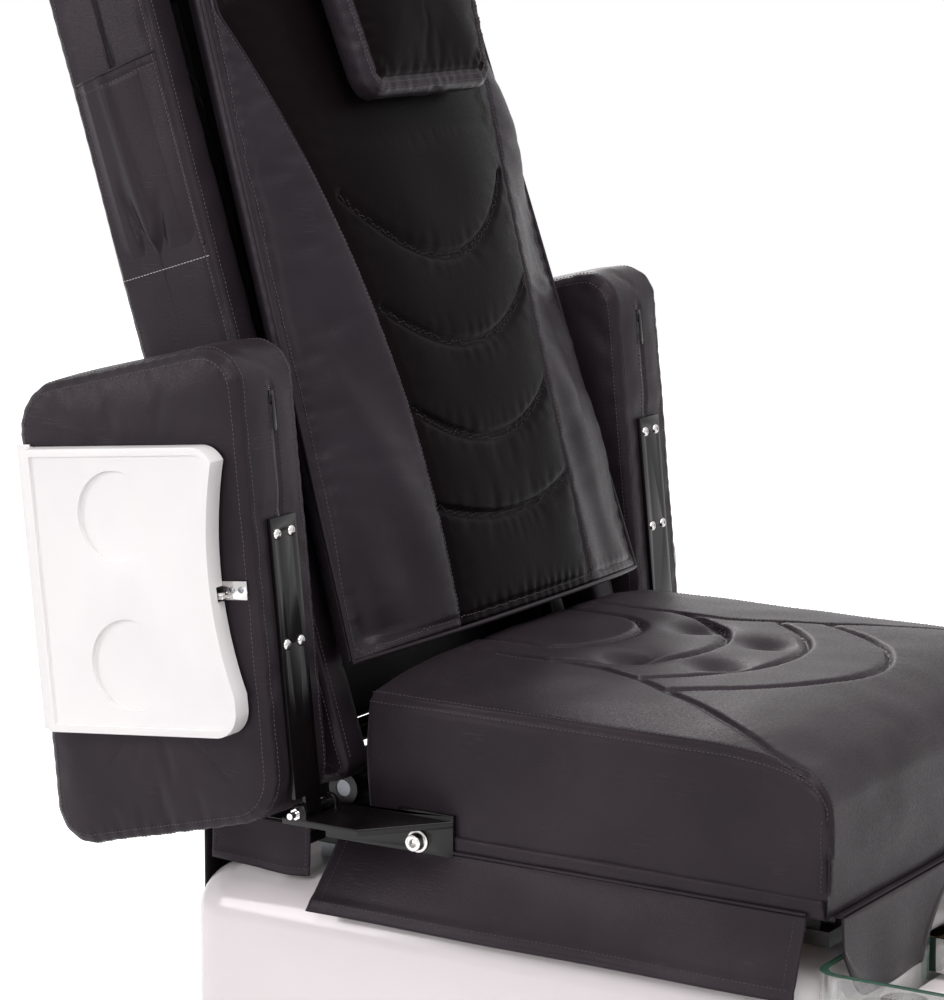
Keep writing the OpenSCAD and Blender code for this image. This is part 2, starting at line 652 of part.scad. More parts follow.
stay_hinge = 205;
stay_tray = 120;
stay_long = 168.3;
stay_short = 83.3;
link_w = 8;
link_t = 2.5;
link_x = tray_in + 0.6 + link_w / 2;
long_a = tray_a - 4;
short_a = long_a + link_t + gap;
rivet_r = 1.5;
module tray() color(white_plastic) arm_frame() difference() {
  union() {
    on_arm(-tray_in - tray_t, tray_t) tray_outline(0);
    for (k = [0, 1]) {
      a0 = knuckles[k] + 20 + gap;
      translate([-hinge_x, hinge_w, a0]) cylinder(r = knuckle_r, h = knuckles[k + 1] - a0 - gap);
      translate([-hinge_x - 2.5, tray_edge - 2, a0]) cube([5, 6.5, knuckles[k + 1] - a0 - gap]);
    }
  }
  on_arm(-tray_in - tray_t - cut, sink + cut) tray_outline(lip);
  for (a = [tray_a + 69, tray_a - 68]) translate([-tray_in - tray_t + sink - cut, 119, a])
    rod_x(cup_r, cup_depth + cut);
  difference() {
    on_arm(-tray_in - tray_t + sink + cup_depth + floor_t, tray_t) tray_outline(wall_t);
    // Ear for the stay's short link
    translate([-tray_in - tray_t, hinge_w - stay_tray - 5, short_a + link_t + gap]) cube([tray_t - 1, 10, 4]);
    translate([-link_x, hinge_w - stay_tray, short_a]) cylinder(r = rivet_r, h = link_t + 4);
  }
  translate([-hinge_x, hinge_w, tray_a - tray_l]) cylinder(r = hinge_pin_r + run, h = 2 * tray_l);
  // Notch in the free edge, through which the stay reaches its anchor
  translate([-link_x - link_w / 2 - 1, 0, long_a - 6]) cube([20, 30, 14]);
}
module tray_right() on_side(false) tray();
module tray_left() on_side(true) tray();

module tray_hinge() color(white_plastic) arm_frame() difference() {
  union() {
    translate([-arm_out - 2.4, hinge_w + 2.6, tray_a - tray_l / 2 - 2]) cube([2.1, 14.5, tray_l + 4]);
    translate([-hinge_x, hinge_w, tray_a - tray_l / 2]) cylinder(r = hinge_pin_r, h = tray_l);
    for (k = knuckles) {
      translate([-hinge_x, hinge_w, k]) cylinder(r = knuckle_r, h = 20);
      translate([-arm_out - 4.5, hinge_w, k]) cube([4.2, 4, 20]);
    }
  }
  for (a = hinge_screw_a) translate([-arm_out - 5, hinge_w + 9, a]) rod_x(1.5, 10);
}
hinge_screw_a = [tray_a - 115, tray_a, tray_a + 116];
module tray_hinge_right() on_side(false) tray_hinge();
module tray_hinge_left() on_side(true) tray_hinge();

anchor_w = hinge_w - stay_hinge;
module stay_plate() color(chrome) arm_frame() {
  translate([-arm_out - 2, anchor_w - 25, tray_a - 9]) cube([1.7, 34, 17]);
  translate([-link_x - 4, anchor_w - 5, long_a - gap - 3]) cube([link_x + 4 - arm_out - 0.5, 10, 3]);
  translate([-link_x, anchor_w, long_a - 3]) cylinder(r = rivet_r, h = link_t + 3);
}
module stay_plate_right() on_side(false) stay_plate();
module stay_plate_left() on_side(true) stay_plate();

module tray_screws() color(chrome) arm_frame() {
  for (a = hinge_screw_a) translate([-arm_out - 2.4, hinge_w + 9, a]) rotate([0, -90, 0]) dome_screw(3, 2);
  for (w = [-19, -9]) translate([-arm_out - 2.05, anchor_w + w, tray_a]) rotate([0, -90, 0]) dome_screw(3, 0.05);
}
module tray_screws_right() on_side(false) tray_screws();
module tray_screws_left() on_side(true) tray_screws();

// A flat link along +Y with a round end and a rivet hole at each end
module link(l) difference() {
  union() {
    translate([-link_w / 2, 0, 0]) cube([link_w, l, link_t]);
    for (y = [0, l]) translate([0, y, 0]) cylinder(r = link_w / 2, h = link_t);
  }
  for (y = [0, l]) translate([0, y, -cut]) cylinder(r = rivet_r + run, h = link_t + 2 * cut);
}
module stay_long_link() color(chrome) arm_frame() translate([-link_x, anchor_w, long_a]) link(stay_long);
module stay_short_link() color(chrome) arm_frame()
  translate([-link_x, hinge_w - stay_tray, short_a]) link(stay_short);
module stay_long_link_right() on_side(false) stay_long_link();
module stay_long_link_left() on_side(true) stay_long_link();
module stay_short_link_right() on_side(false) stay_short_link();
module stay_short_link_left() on_side(true) stay_short_link();

// ---------- back ----------

back_low = -90;
side_in = back_w / 2 - side_t;
module back_side() color(leather) back_frame_place()
  lofted([for (k = [[0, -2], [1, 0], [side_t - 8, 0], [side_t - 2, -2], [side_t, -12]])
    [for (p = outline(back_d + 2 * k[1], back_l - back_low + 2 * k[1], 14 + k[1], 5))
      [-side_in - k[0], back_d / 2 + p[0], (back_l + back_low) / 2 + p[1]]]]);
module back_side_right() on_side(false) back_side();
module back_side_left() on_side(true) back_side();

module back_panel() color(leather_dark) back_frame_place() {
  translate([-side_in + gap, back_d - 12, -50]) cube([2 * (side_in - gap), 12, back_l + 45]);
  translate([-side_in + gap, 8, back_l - 25]) cube([2 * (side_in - gap), back_d - 12, 20]);
}

upright_x = side_in - 15;
rear_n = back_d - 12;
module back_frame() color(steel_black) {
  back_frame_place() {
    for (x = [-1, 1]) difference() {
      union() {
        translate([x * upright_x, pivot_n, pivot_s + 10]) cylinder(r = 12, h = back_l - 40 - pivot_s);
        translate([x * (upright_x - 4.5) - 16.5, pivot_n, pivot_s]) rod_x(16, 33);
      }
      translate([x * upright_x - 40, pivot_n, pivot_s]) rod_x(pin_r + run, 80);
    }
    for (s = [-55, back_l - 42]) translate([-upright_x, pivot_n, s]) rod_x(11, 2 * upright_x);
    for (s = [10, back_l - 90]) {
      translate([-side_in + gap, rear_n - 8, s]) cube([2 * (side_in - gap), 8 - gap, 40]);
      for (x = [-1, 1]) translate([x * upright_x - 8, pivot_n, s + 10]) cube([16, rear_n - 8 - pivot_n, 20]);
    }
  }
  // Lugs and pin for the recline actuator
  for (x = [-12, 6]) translate([x, eye_y - 9, eye_z]) cube([6, 18, pivot_z + 40 - eye_z]);
  for (x = [-12, 6]) translate([x, eye_y, eye_z]) rod_x(9, 6);
  translate([-12, eye_y, eye_z]) rod_x(4, 24);
}

mrail_x = 120;
lift_travel = 380;
module massage_rails() color(steel) back_frame_place() {
  for (x = [-1, 1]) translate([x * mrail_x - 10, 52, 20]) cube([20, 16, back_l - 90]);
  for (s = [20, back_l - 90], x = [-1, 1]) translate([x * mrail_x - 10, 68, s]) cube([20, rear_n - 76, 20]);
}

shaft_s = 160;
roller_n = 48;
module massage_carriage() color(steel_black) back_frame_place() {
  difference() {
    for (x = [-1, 1]) {
      translate([x * 102 - 4, 22, shaft_s - 45]) cube([8, 74, 90]);
      // Slippers that run on the rails
      translate([x * 107.9 - 1.8, 52, shaft_s - 40]) cube([3.6, 16, 80]);
    }
    translate([-120, roller_n, shaft_s]) rod_x(6 + run, 240);
  }
  translate([-102, rear_n - 5, shaft_s - 45]) cube([204, 5 - gap, 90]);
}
module massage_rollers() color(white_plastic) back_frame_place() translate([0, roller_n, shaft_s]) {
  translate([-110, 0, 0]) rod_x(6, 220);
  for (x = [-1, 1]) {
    translate([x * 55 - 6, -5, -26]) cube([12, 10, 52]);
    for (s = [-26, 26]) translate([x * 55, 0, s]) sphere(17.5, $fn = 24);
  }
}

// The massage cover: a crowned pad with a middle panel between two seams, crossed by four channels
cover_low = 14;
cover_top = back_l - 25;
cover_edge = -34;
arcs = [[108, 22], [184, 42], [278, 50], [365, 75]];
function cover_half(s) = cover_w / 2 - 40 * (s - cover_low) / (cover_top - cover_low);
function panel_half(s) = 121 + 104 * pow(max(0, s - 120) / 530, 2);
function cover_bulge(s) = 38 + 12 * sin(180 * pow((s - cover_low) / (cover_top - cover_low), 0.8));
function cover_n(x, s) =
  cover_edge - cover_bulge(s) * (1 - pow(abs(x) / cover_half(s), 2.6))
    + 3.5 * bump(abs(x) - min(panel_half(s), cover_half(s) - 12), 12)
    + (abs(x) < panel_half(s) ? sum([for (a = arcs) 5 * bump(s - a[0] - a[1] * pow(x / panel_half(s), 2), 11)]) : 0);
cover_nu = 20;
cover_nv = 34;
module massage_cover() color(leather_dark) back_frame_place() {
  face = [for (j = [0:cover_nv], i = [0:cover_nu])
    let(s = cover_low + (cover_top - cover_low) * j / cover_nv, x = cover_half(s) * (2 * i / cover_nu - 1))
    [x, cover_n(x, s), s]];
  rim = [for (k = edge_index(cover_nu, cover_nv)) face[k]];
  ring = [for (p = rim) [p[0] * 0.99, -20, p[2]]];
  rear = [for (p = rim) [p[0] * 0.9, -gap, cover_low + 6 + (p[2] - cover_low) * 0.985]];
  pad(face, cover_nu, cover_nv, [ring, rear]);
}

pillow_low = 523;
pillow_h = 200;
module head_pillow() color(leather) back_frame_place() {
  n0 = min([for (s = [pillow_low:20:pillow_low + pillow_h]) cover_n(0, s)]) - gap;
  rings = [[0, -16], [6, -2], [12, 0], [26, -1], [38, -16], [44, -50]];
  lofted([for (k = rings)
    [for (p = outline(pillow_w + 30 + 2 * k[1], pillow_h + 2 * k[1], 24 + k[1] * 0.2, 6))
      [p[0] * (1 + 0.22 * p[1] / pillow_h), n0 - k[0], pillow_low + pillow_h / 2 + p[1]]]]);
}

pocket_low = 423;
pocket_top = 605;
pocket_t = 10;
module side_pocket() color(leather) back_frame_place() difference() {
  translate([-back_w / 2 - gap - pocket_t, 5, pocket_low]) cube([pocket_t, back_d - 12, pocket_top - pocket_low]);
  translate([-back_w / 2 - gap - pocket_t + 2, 8, pocket_low + 6]) cube([pocket_t - 3.5, back_d - 18, pocket_top]);
}

base_shell();
levelling_feet();
glass_basin();
basin_drain();
drain_stopper();
spout();
spout_housing();
mixer_body();
mixer_lever();
spray_holder();
spray_handset();
jet_cover();
jet_impeller();
footrest_bracket();
footrest_pad();
slide_rails();
rear_skirt();
seat_carriage();
seat_pan();
seat_cushion();
side_flaps();
rear_flaps();
front_flap();
arm_bracket_right();
arm_bracket_left();
bracket_bolts();
arm_pivot_bolts();
recline_pins();
actuator_body();
actuator_rod();
arm_pad_right();
arm_plate_right();
plate_screws_right();
tray_right();
tray_hinge_right();
tray_screws_right();
stay_plate_right();
stay_long_link_right();
stay_short_link_right();
arm_pad_left();
arm_plate_left();
plate_screws_left();
tray_left();
tray_hinge_left();
tray_screws_left();
stay_plate_left();
stay_long_link_left();
stay_short_link_left();
back_side_right();
back_side_left();
back_panel();
back_frame();
massage_rails();
massage_carriage();
massage_rollers();
massage_cover();
head_pillow();
side_pocket();
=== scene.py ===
# %% [markdown]
# # A pedicure spa chair
# A massage chair stands on a moulded tub with a glass foot basin. The hard parts come in from the CAD
# frame already in place. This lesson gives them their finishes and makes every soft part as an
# upholsterer would: cut panels, foam that swells between seams, and rows of stitches.

# %% Load the frame
import bpy, bmesh, json, math
import numpy as np
from mathutils import Matrix, Vector, noise
from mathutils.bvhtree import BVHTree
from mathutils.kdtree import KDTree

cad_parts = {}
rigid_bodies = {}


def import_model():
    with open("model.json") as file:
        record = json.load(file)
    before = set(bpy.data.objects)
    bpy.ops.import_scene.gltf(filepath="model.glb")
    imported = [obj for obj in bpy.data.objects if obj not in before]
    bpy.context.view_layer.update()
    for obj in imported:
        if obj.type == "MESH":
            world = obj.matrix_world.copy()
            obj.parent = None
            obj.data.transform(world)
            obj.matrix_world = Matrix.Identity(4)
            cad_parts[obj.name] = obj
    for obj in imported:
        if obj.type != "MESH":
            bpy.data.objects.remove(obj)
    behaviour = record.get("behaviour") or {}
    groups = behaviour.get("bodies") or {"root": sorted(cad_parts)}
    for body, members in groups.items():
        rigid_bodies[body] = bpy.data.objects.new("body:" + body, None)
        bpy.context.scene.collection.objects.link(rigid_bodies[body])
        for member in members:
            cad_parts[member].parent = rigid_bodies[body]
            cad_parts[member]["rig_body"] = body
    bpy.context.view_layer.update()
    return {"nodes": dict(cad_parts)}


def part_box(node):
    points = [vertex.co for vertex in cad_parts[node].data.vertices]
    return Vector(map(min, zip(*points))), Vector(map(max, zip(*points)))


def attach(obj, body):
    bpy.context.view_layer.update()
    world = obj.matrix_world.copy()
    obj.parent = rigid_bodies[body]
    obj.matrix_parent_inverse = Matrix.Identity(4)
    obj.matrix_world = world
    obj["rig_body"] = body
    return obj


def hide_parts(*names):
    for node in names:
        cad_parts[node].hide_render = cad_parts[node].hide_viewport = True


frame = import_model()
NODES = frame["nodes"]

# %% [markdown]
# The camera stands on the sitter's right, a little above the seat, and looks down at the chair with a
# long lens. A long lens keeps the tray's edges almost parallel, as a studio picture does.

# %% Camera
YAW, PITCH, ROLL = (math.radians(a) for a in (58.2, 10.42, -0.21))
ahead = Vector((math.sin(YAW) * math.cos(PITCH), math.cos(YAW) * math.cos(PITCH), -math.sin(PITCH)))
level = Vector((math.cos(YAW), -math.sin(YAW), 0.0))
down = ahead.cross(level)
right = level * math.cos(ROLL) + down * math.sin(ROLL)
up = level * math.sin(ROLL) - down * math.cos(ROLL)
camera = bpy.data.objects.new("camera", bpy.data.cameras.new("camera"))
camera.matrix_world = (Matrix.Translation((-2.93493, -1.36101, 1.40668))
                       @ Matrix((right, up, -ahead)).transposed().to_4x4())
camera.data.sensor_width = 36.0
camera.data.lens = 128.31
bpy.context.scene.collection.objects.link(camera)
bpy.context.scene.camera = camera
print("camera", tuple(round(v, 3) for v in camera.location))


# %% [markdown]
# Every finish is a small tree of nodes. Two helpers keep the trees short: one turns a hex colour into
# the linear numbers that the shader wants, and one adds a node with its settings and its links.

# %% Colour and node helpers
def linear(hex_code):
    """A hex colour such as "2b262b" as linear red, green, blue and alpha."""
    parts = [int(hex_code[i:i + 2], 16) / 255 for i in (0, 2, 4)]
    return tuple(c / 12.92 if c <= 0.04045 else ((c + 0.055) / 1.055) ** 2.4 for c in parts) + (1.0,)


def add(tree, kind, sockets=None, **settings):
    """Adds a node. A socket's value may be a number, a colour or another node's output."""
    node = tree.nodes.new(kind)
    for name, value in settings.items():
        setattr(node, name, value)
    for name, value in (sockets or {}).items():
        if isinstance(value, bpy.types.NodeSocket):
            tree.links.new(value, node.inputs[name])
        else:
            node.inputs[name].default_value = value
    return node


def finish(name, **surface):
    """A new material with a Principled surface, and its tree."""
    material = bpy.data.materials.new(name)
    material.use_nodes = True
    tree = material.node_tree
    shader = tree.nodes["Principled BSDF"]
    for key, value in surface.items():
        shader.inputs[key.replace("_", " ")].default_value = value
    return material, tree, shader


def ramp(tree, value, low, high, dark, light):
    """Mixes two hex colours as value runs from low to high."""
    spread = add(tree, "ShaderNodeMapRange", {"Value": value, "From Min": low, "From Max": high})
    return add(tree, "ShaderNodeMix", {0: spread.outputs[0], 6: linear(dark), 7: linear(light)},
               data_type="RGBA").outputs[2]


print("black leather is", [round(c, 4) for c in linear("2b262b")])


# %% [markdown]
# The upholstery is polyurethane leathercloth: a knitted backing with a skin embossed from a roller.
# Close to, the skin has pebbles about a millimetre across, and here and there a bunch of short slanting
# creases that the roller repeats. Both are drawn a little coarser than life so that they show.
# The thread is bonded polyester. The creases follow the object's own coordinates in metres.

# %% Leathercloth
def leathercloth(name, dark, light, marks, roughness, turn=(0.0, 0.0, 0.0), sheen=0.03, shine=0.24):
    material, tree, shader = finish(name, Roughness=roughness, IOR=1.5)
    shader.inputs["Specular IOR Level"].default_value = shine
    shader.inputs["Specular Tint"].default_value = linear("f4eaf2")
    shader.inputs["Sheen Weight"].default_value = sheen
    shader.inputs["Sheen Roughness"].default_value = 0.5
    shader.inputs["Sheen Tint"].default_value = linear("9a8c96")
    place = add(tree, "ShaderNodeTexCoord").outputs["Object"]
    # Pebbles of 1.3 mm
    pebble = add(tree, "ShaderNodeTexVoronoi", {"Vector": place, "Scale": 1 / 0.0013}, feature="SMOOTH_F1")
    grain = add(tree, "ShaderNodeTexNoise", {"Vector": place, "Scale": 1 / 0.0022, "Detail": 3.0})
    # Slanting creases, 1.6 mm apart and about 20 mm long, in bunches about 45 mm across
    slant = add(tree, "ShaderNodeMapping", {"Vector": place, "Rotation": turn,
                                            "Scale": (1 / 0.02, 1 / 0.02, 1 / 0.0016)})
    crease = add(tree, "ShaderNodeTexNoise", {"Vector": slant.outputs[0], "Scale": 1.0, "Detail": 1.0})
    bunch = add(tree, "ShaderNodeTexNoise", {"Vector": place, "Scale": 1 / 0.045, "Detail": 1.0})
    where = add(tree, "ShaderNodeMapRange", {"Value": bunch.outputs["Fac"], "From Min": 0.56,
                                            "From Max": 0.72})
    line = add(tree, "ShaderNodeMapRange", {"Value": crease.outputs["Fac"], "From Min": 0.56,
                                            "From Max": 0.7})
    mark = add(tree, "ShaderNodeMath", {0: where.outputs[0], 1: line.outputs[0]}, operation="MULTIPLY")
    cloud = add(tree, "ShaderNodeTexNoise", {"Vector": place, "Scale": 1 / 0.12, "Detail": 4.0})
    base = ramp(tree, cloud.outputs["Fac"], 0.35, 0.68, dark, light)
    rubbed = add(tree, "ShaderNodeMath", {0: mark.outputs[0], 1: marks}, operation="MULTIPLY")
    colour = add(tree, "ShaderNodeMix", {0: rubbed.outputs[0], 6: base, 7: linear("8a8088")},
                 data_type="RGBA")
    tree.links.new(colour.outputs[2], shader.inputs["Base Color"])
    height = add(tree, "ShaderNodeMath", {0: pebble.outputs["Distance"], 1: grain.outputs["Fac"]},
                 operation="ADD")
    marked = add(tree, "ShaderNodeMath", {0: mark.outputs[0], 1: 0.6, 2: height.outputs[0]},
                 operation="MULTIPLY_ADD")
    bump = add(tree, "ShaderNodeBump", {"Height": marked.outputs[0], "Strength": 0.32, "Distance": 0.0004})
    tree.links.new(bump.outputs[0], shader.inputs["Normal"])
    rough = add(tree, "ShaderNodeMapRange", {"Value": grain.outputs["Fac"], "From Min": 0.3, "From Max": 0.7,
                                             "To Min": roughness - 0.06, "To Max": roughness + 0.1})
    tree.links.new(rough.outputs[0], shader.inputs["Roughness"])
    return material


BLACK_LEATHER = leathercloth("black_leathercloth", "201b1f", "2b252a", 0.04, 0.38,
                             turn=(math.radians(52), 0, 0), shine=0.18)
COVER_LEATHER = leathercloth("cover_leathercloth", "1a161a", "252025", 0.03, 0.36,
                             turn=(0, math.radians(40), 0), shine=0.20)
# The cover's middle is a plainer, darker skin with a satin face
PANEL_LEATHER = leathercloth("satin_leathercloth", "0a0708", "0f0b0c", 0.0, 0.36, sheen=0.0, shine=0.04)
print("leathercloth", [m.name for m in (BLACK_LEATHER, COVER_LEATHER, PANEL_LEATHER)])

# %% Bonded thread
THREAD, tree, shader = finish("bonded_thread", Base_Color=linear("3a353a"), Roughness=0.7)
PALE_THREAD, tree, shader = finish("pale_bonded_thread", Base_Color=linear("4e474c"), Roughness=0.7)
WHITE_THREAD, tree, shader = finish("white_bonded_thread", Base_Color=linear("b5b0ae"), Roughness=0.7)
for material in (THREAD, PALE_THREAD, WHITE_THREAD):
    tree = material.node_tree
    place = add(tree, "ShaderNodeTexCoord").outputs["Object"]
    # Twist of 0.8 mm along the thread
    twist = add(tree, "ShaderNodeTexNoise", {"Vector": place, "Scale": 1 / 0.0008})
    bump = add(tree, "ShaderNodeBump", {"Height": twist.outputs["Fac"], "Strength": 0.4, "Distance": 0.0002})
    tree.links.new(bump.outputs[0], tree.nodes["Principled BSDF"].inputs["Normal"])
print("threads made")

# %% [markdown]
# The hard parts have nine finishes. The tub is glass fibre under a gelcoat, which is glossy and very
# slightly wavy. The trays are injection-moulded ABS with a fine satin texture. Brackets and bars are
# powder-coated, which leaves a faint orange peel, and the small fittings are chrome-plated.

# %% Finishes of the hard parts
def grained(name, colour, second, size, strength, distance, **surface):
    """A finish with a mottle between two close colours and a fine surface texture of one size."""
    material, tree, shader = finish(name, **surface)
    place = add(tree, "ShaderNodeTexCoord").outputs["Object"]
    mottle = add(tree, "ShaderNodeTexNoise", {"Vector": place, "Scale": 1 / 0.09, "Detail": 3.0})
    tree.links.new(ramp(tree, mottle.outputs["Fac"], 0.35, 0.65, colour, second), shader.inputs["Base Color"])
    texture = add(tree, "ShaderNodeTexNoise", {"Vector": place, "Scale": 1 / size, "Detail": 2.0})
    bump = add(tree, "ShaderNodeBump", {"Height": texture.outputs["Fac"], "Strength": strength,
                                        "Distance": distance})
    tree.links.new(bump.outputs[0], shader.inputs["Normal"])
    rough = shader.inputs["Roughness"].default_value
    wear = add(tree, "ShaderNodeMapRange", {"Value": mottle.outputs["Fac"], "From Min": 0.3, "From Max": 0.7,
                                            "To Min": rough * 0.85, "To Max": min(1.0, rough * 1.2)})
    tree.links.new(wear.outputs[0], shader.inputs["Roughness"])
    return material


# Gelcoat: glossy polyester, a trace of pink in the white, waves 40 mm long from the mould
GELCOAT = grained("gelcoat", "e6e0e2", "e8e2e4", 0.04, 0.15, 0.0006, Roughness=0.16, IOR=1.53)
# ABS: moulded against a spark-eroded tool, grain 0.7 mm
TRAY_ABS = grained("white_abs", "eeeced", "f1efef", 0.0007, 0.05, 0.0001, Roughness=0.34, IOR=1.53)
# Powder coat: orange peel of 2 mm on black polyester
POWDER = grained("black_powder_coat", "080607", "0e0b0d", 0.002, 0.14, 0.0002, Roughness=0.24, IOR=1.4)
# Chrome plate over polished steel
CHROME = grained("chrome_plate", "c8c6c6", "d6d3d2", 0.006, 0.04, 0.0001, Roughness=0.10, Metallic=1.0)
# Zinc plate: dull, slightly blotchy
ZINC = grained("zinc_plate", "7f8287", "95989c", 0.003, 0.12, 0.0001, Roughness=0.36, Metallic=1.0)
# Nitrile rubber feet
RUBBER = grained("nitrile_rubber", "141414", "1b1b1b", 0.001, 0.2, 0.0002, Roughness=0.75)
print("hard finishes", [m.name for m in (GELCOAT, TRAY_ABS, POWDER, CHROME, ZINC, RUBBER)])

# %% Birch plywood, float glass and its ground edge
PLYWOOD, tree, shader = finish("birch_plywood", Roughness=0.62)
place = add(tree, "ShaderNodeTexCoord").outputs["Object"]
grain = add(tree, "ShaderNodeMapping", {"Vector": place, "Scale": (1 / 0.004, 1 / 0.12, 1 / 0.0015)})
veins = add(tree, "ShaderNodeTexNoise", {"Vector": grain.outputs[0], "Scale": 1.0, "Detail": 4.0})
tree.links.new(ramp(tree, veins.outputs["Fac"], 0.3, 0.7, "a9865a", "c9a877"), shader.inputs["Base Color"])
bump = add(tree, "ShaderNodeBump", {"Height": veins.outputs["Fac"], "Strength": 0.2, "Distance": 0.0003})
tree.links.new(bump.outputs[0], shader.inputs["Normal"])

# Float glass is clear in the face and green in the edge, where the light runs through its width
GLASS, tree, shader = finish("float_glass", Base_Color=linear("f6fbf8"), Roughness=0.02, IOR=1.52)
shader.inputs["Transmission Weight"].default_value = 1.0
# Thin glass: most light passes straight through, so that the basin is lit inside
shader.inputs["Alpha"].default_value = 0.35
place = add(tree, "ShaderNodeTexCoord").outputs["Object"]
draw = add(tree, "ShaderNodeTexNoise", {"Vector": place, "Scale": 1 / 0.25})
tree.links.new(ramp(tree, draw.outputs["Fac"], 0.35, 0.65, "f3faf6", "f8fcfa"), shader.inputs["Base Color"])
GLASS_EDGE = grained("ground_glass_edge", "365345", "46665a", 0.002, 0.1, 0.0001, Roughness=0.18, IOR=1.52)
print("timber and glass made")

# %% Give each CAD node its finish
FINISHES = {
    CHROME: "basin_drain drain_stopper mixer_body mixer_lever spray_holder spray_handset footrest_bracket "
            "arm_pivot_bolts actuator_rod",
    ZINC: "slide_rails recline_pins actuator_body massage_rails jet_impeller",
    POWDER: "seat_carriage back_frame massage_carriage",
    TRAY_ABS: "jet_cover massage_rollers",
    RUBBER: "levelling_feet",
    PLYWOOD: "seat_pan",
}
for material, names in FINISHES.items():
    for name in names.split():
        NODES[name].data.materials.clear()
        NODES[name].data.materials.append(material)
print("finished", sum(len(names.split()) for names in FINISHES.values()), "CAD nodes")

# %% [markdown]
# The CAD parts keep their true arcs but have knife-sharp edges, and no moulded, cast or powder-coated
# edge is sharp. Where an edge is close enough to be seen, the part's mesh is copied, its loose
# triangles are joined, and the Bevel modifier eases each sharp edge by a fraction of a millimetre.

# %% Ease the edges of a hard part
def place_piece(name, mesh, body):
    """Puts a finished mesh in the scene and lets it ride on a body."""
    piece = bpy.data.objects.new(name, mesh)
    bpy.context.scene.collection.objects.link(piece)
    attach(piece, body)
    return piece


def baked(piece):
    """Turns a piece's modifiers into plain mesh."""
    mesh = bpy.data.meshes.new_from_object(piece.evaluated_get(bpy.context.evaluated_depsgraph_get()))
    piece.modifiers.clear()
    piece.data = mesh
    return piece


def eased(node, material, width, steps=2):
    mesh = NODES[node].data.copy()
    mesh.materials.clear()
    mesh.materials.append(material)
    work = bmesh.new()
    work.from_mesh(mesh)
    bmesh.ops.remove_doubles(work, verts=work.verts, dist=2e-6)
    bmesh.ops.dissolve_limit(work, angle_limit=math.radians(0.5), verts=work.verts, edges=work.edges)
    work.to_mesh(mesh)
    work.free()
    piece = place_piece("eased_" + node, mesh, NODES[node]["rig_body"])
    bevel = piece.modifiers.new("ease", "BEVEL")
    bevel.width, bevel.segments = width, steps
    bevel.limit_method, bevel.angle_limit = "ANGLE", math.radians(30)
    baked(piece)
    piece.data.shade_smooth()
    piece.data.set_sharp_from_angle(angle=math.radians(38))
    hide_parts(node)
    return piece


for side in ("right", "left"):
    eased("tray_" + side, TRAY_ABS, 0.0011, steps=3)
    eased("tray_hinge_" + side, TRAY_ABS, 0.0004)
    eased("arm_plate_" + side, POWDER, 0.0005)
    eased("arm_bracket_" + side, POWDER, 0.0005)
    eased("stay_plate_" + side, CHROME, 0.0003)
    eased("stay_long_link_" + side, CHROME, 0.0003)
    eased("stay_short_link_" + side, CHROME, 0.0003)
eased("spout", CHROME, 0.0012, steps=3)
eased("spout_housing", GELCOAT, 0.003, steps=3)

# %% [markdown]
# The basin is five sheets of glass with bright ground edges. The faces take clear glass, and the faces
# that look straight up at the rim take the green of the edge.

# %% Glass basin with a green rim
basin = eased("glass_basin", GLASS, 0.0008)
basin.data.materials.append(GLASS_EDGE)
rim_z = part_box("glass_basin")[1].z
for face in basin.data.polygons:
    beside_spout = face.center.z > 0.38 and abs(face.normal.x) > 0.9 and abs(face.center.x) < 0.07
    if face.center.z > rim_z - 0.0012 or beside_spout:
        face.material_index = 1
print("rim faces", sum(f.material_index for f in basin.data.polygons))


# %% [markdown]
# Upholstery starts as a shape: a stack of rings, or a grid of points closed by rings behind it. The
# numbers of each cushion are the sizes that its foam is cut to. Lengths here are in metres.

# %% Shapes for cushions
def outline(width, length, radius, corner=8, side=0):
    """Points round a rectangle with round corners. side adds points along each straight."""
    points = []
    for c in range(4):
        cx = (1 if c in (0, 3) else -1) * (width / 2 - radius)
        cy = (1 if c < 2 else -1) * (length / 2 - radius)
        for i in range(corner + 1):
            turn = math.radians(90 * c + 90 * i / corner)
            points.append((cx + radius * math.cos(turn), cy + radius * math.sin(turn)))
        if side:
            after = math.radians(90 * c + 90)
            ex = (1 if (c + 1) % 4 in (0, 3) else -1) * (width / 2 - radius) + radius * math.cos(after)
            ey = (1 if (c + 1) % 4 < 2 else -1) * (length / 2 - radius) + radius * math.sin(after)
            px, py = points[-1]
            points += [(px + (ex - px) * k / (side + 1), py + (ey - py) * k / (side + 1))
                       for k in range(1, side + 1)]
    return points


def shape(name, points, faces, material):
    """A mesh from points and faces, with its faces turned outwards."""
    mesh = bpy.data.meshes.new(name)
    mesh.from_pydata([tuple(p) for p in points], [], faces)
    work = bmesh.new()
    work.from_mesh(mesh)
    bmesh.ops.recalc_face_normals(work, faces=work.faces)
    work.to_mesh(mesh)
    work.free()
    mesh.materials.append(material)
    mesh.shade_smooth()
    return mesh


def ring_shape(name, rings, material):
    """A closed skin through rings of equal length, with a point in the middle of each end."""
    n, m = len(rings[0]), len(rings)
    points = [p for ring in rings for p in ring]
    faces = [(j * n + i, j * n + (i + 1) % n, (j + 1) * n + (i + 1) % n, (j + 1) * n + i)
             for j in range(m - 1) for i in range(n)]
    for ring, start in ((rings[0], 0), (rings[-1], (m - 1) * n)):
        middle = sum((Vector(p) for p in ring), Vector()) / n
        points.append(middle)
        faces += [(len(points) - 1, start + i, start + (i + 1) % n) for i in range(n)]
    return shape(name, points, faces, material)


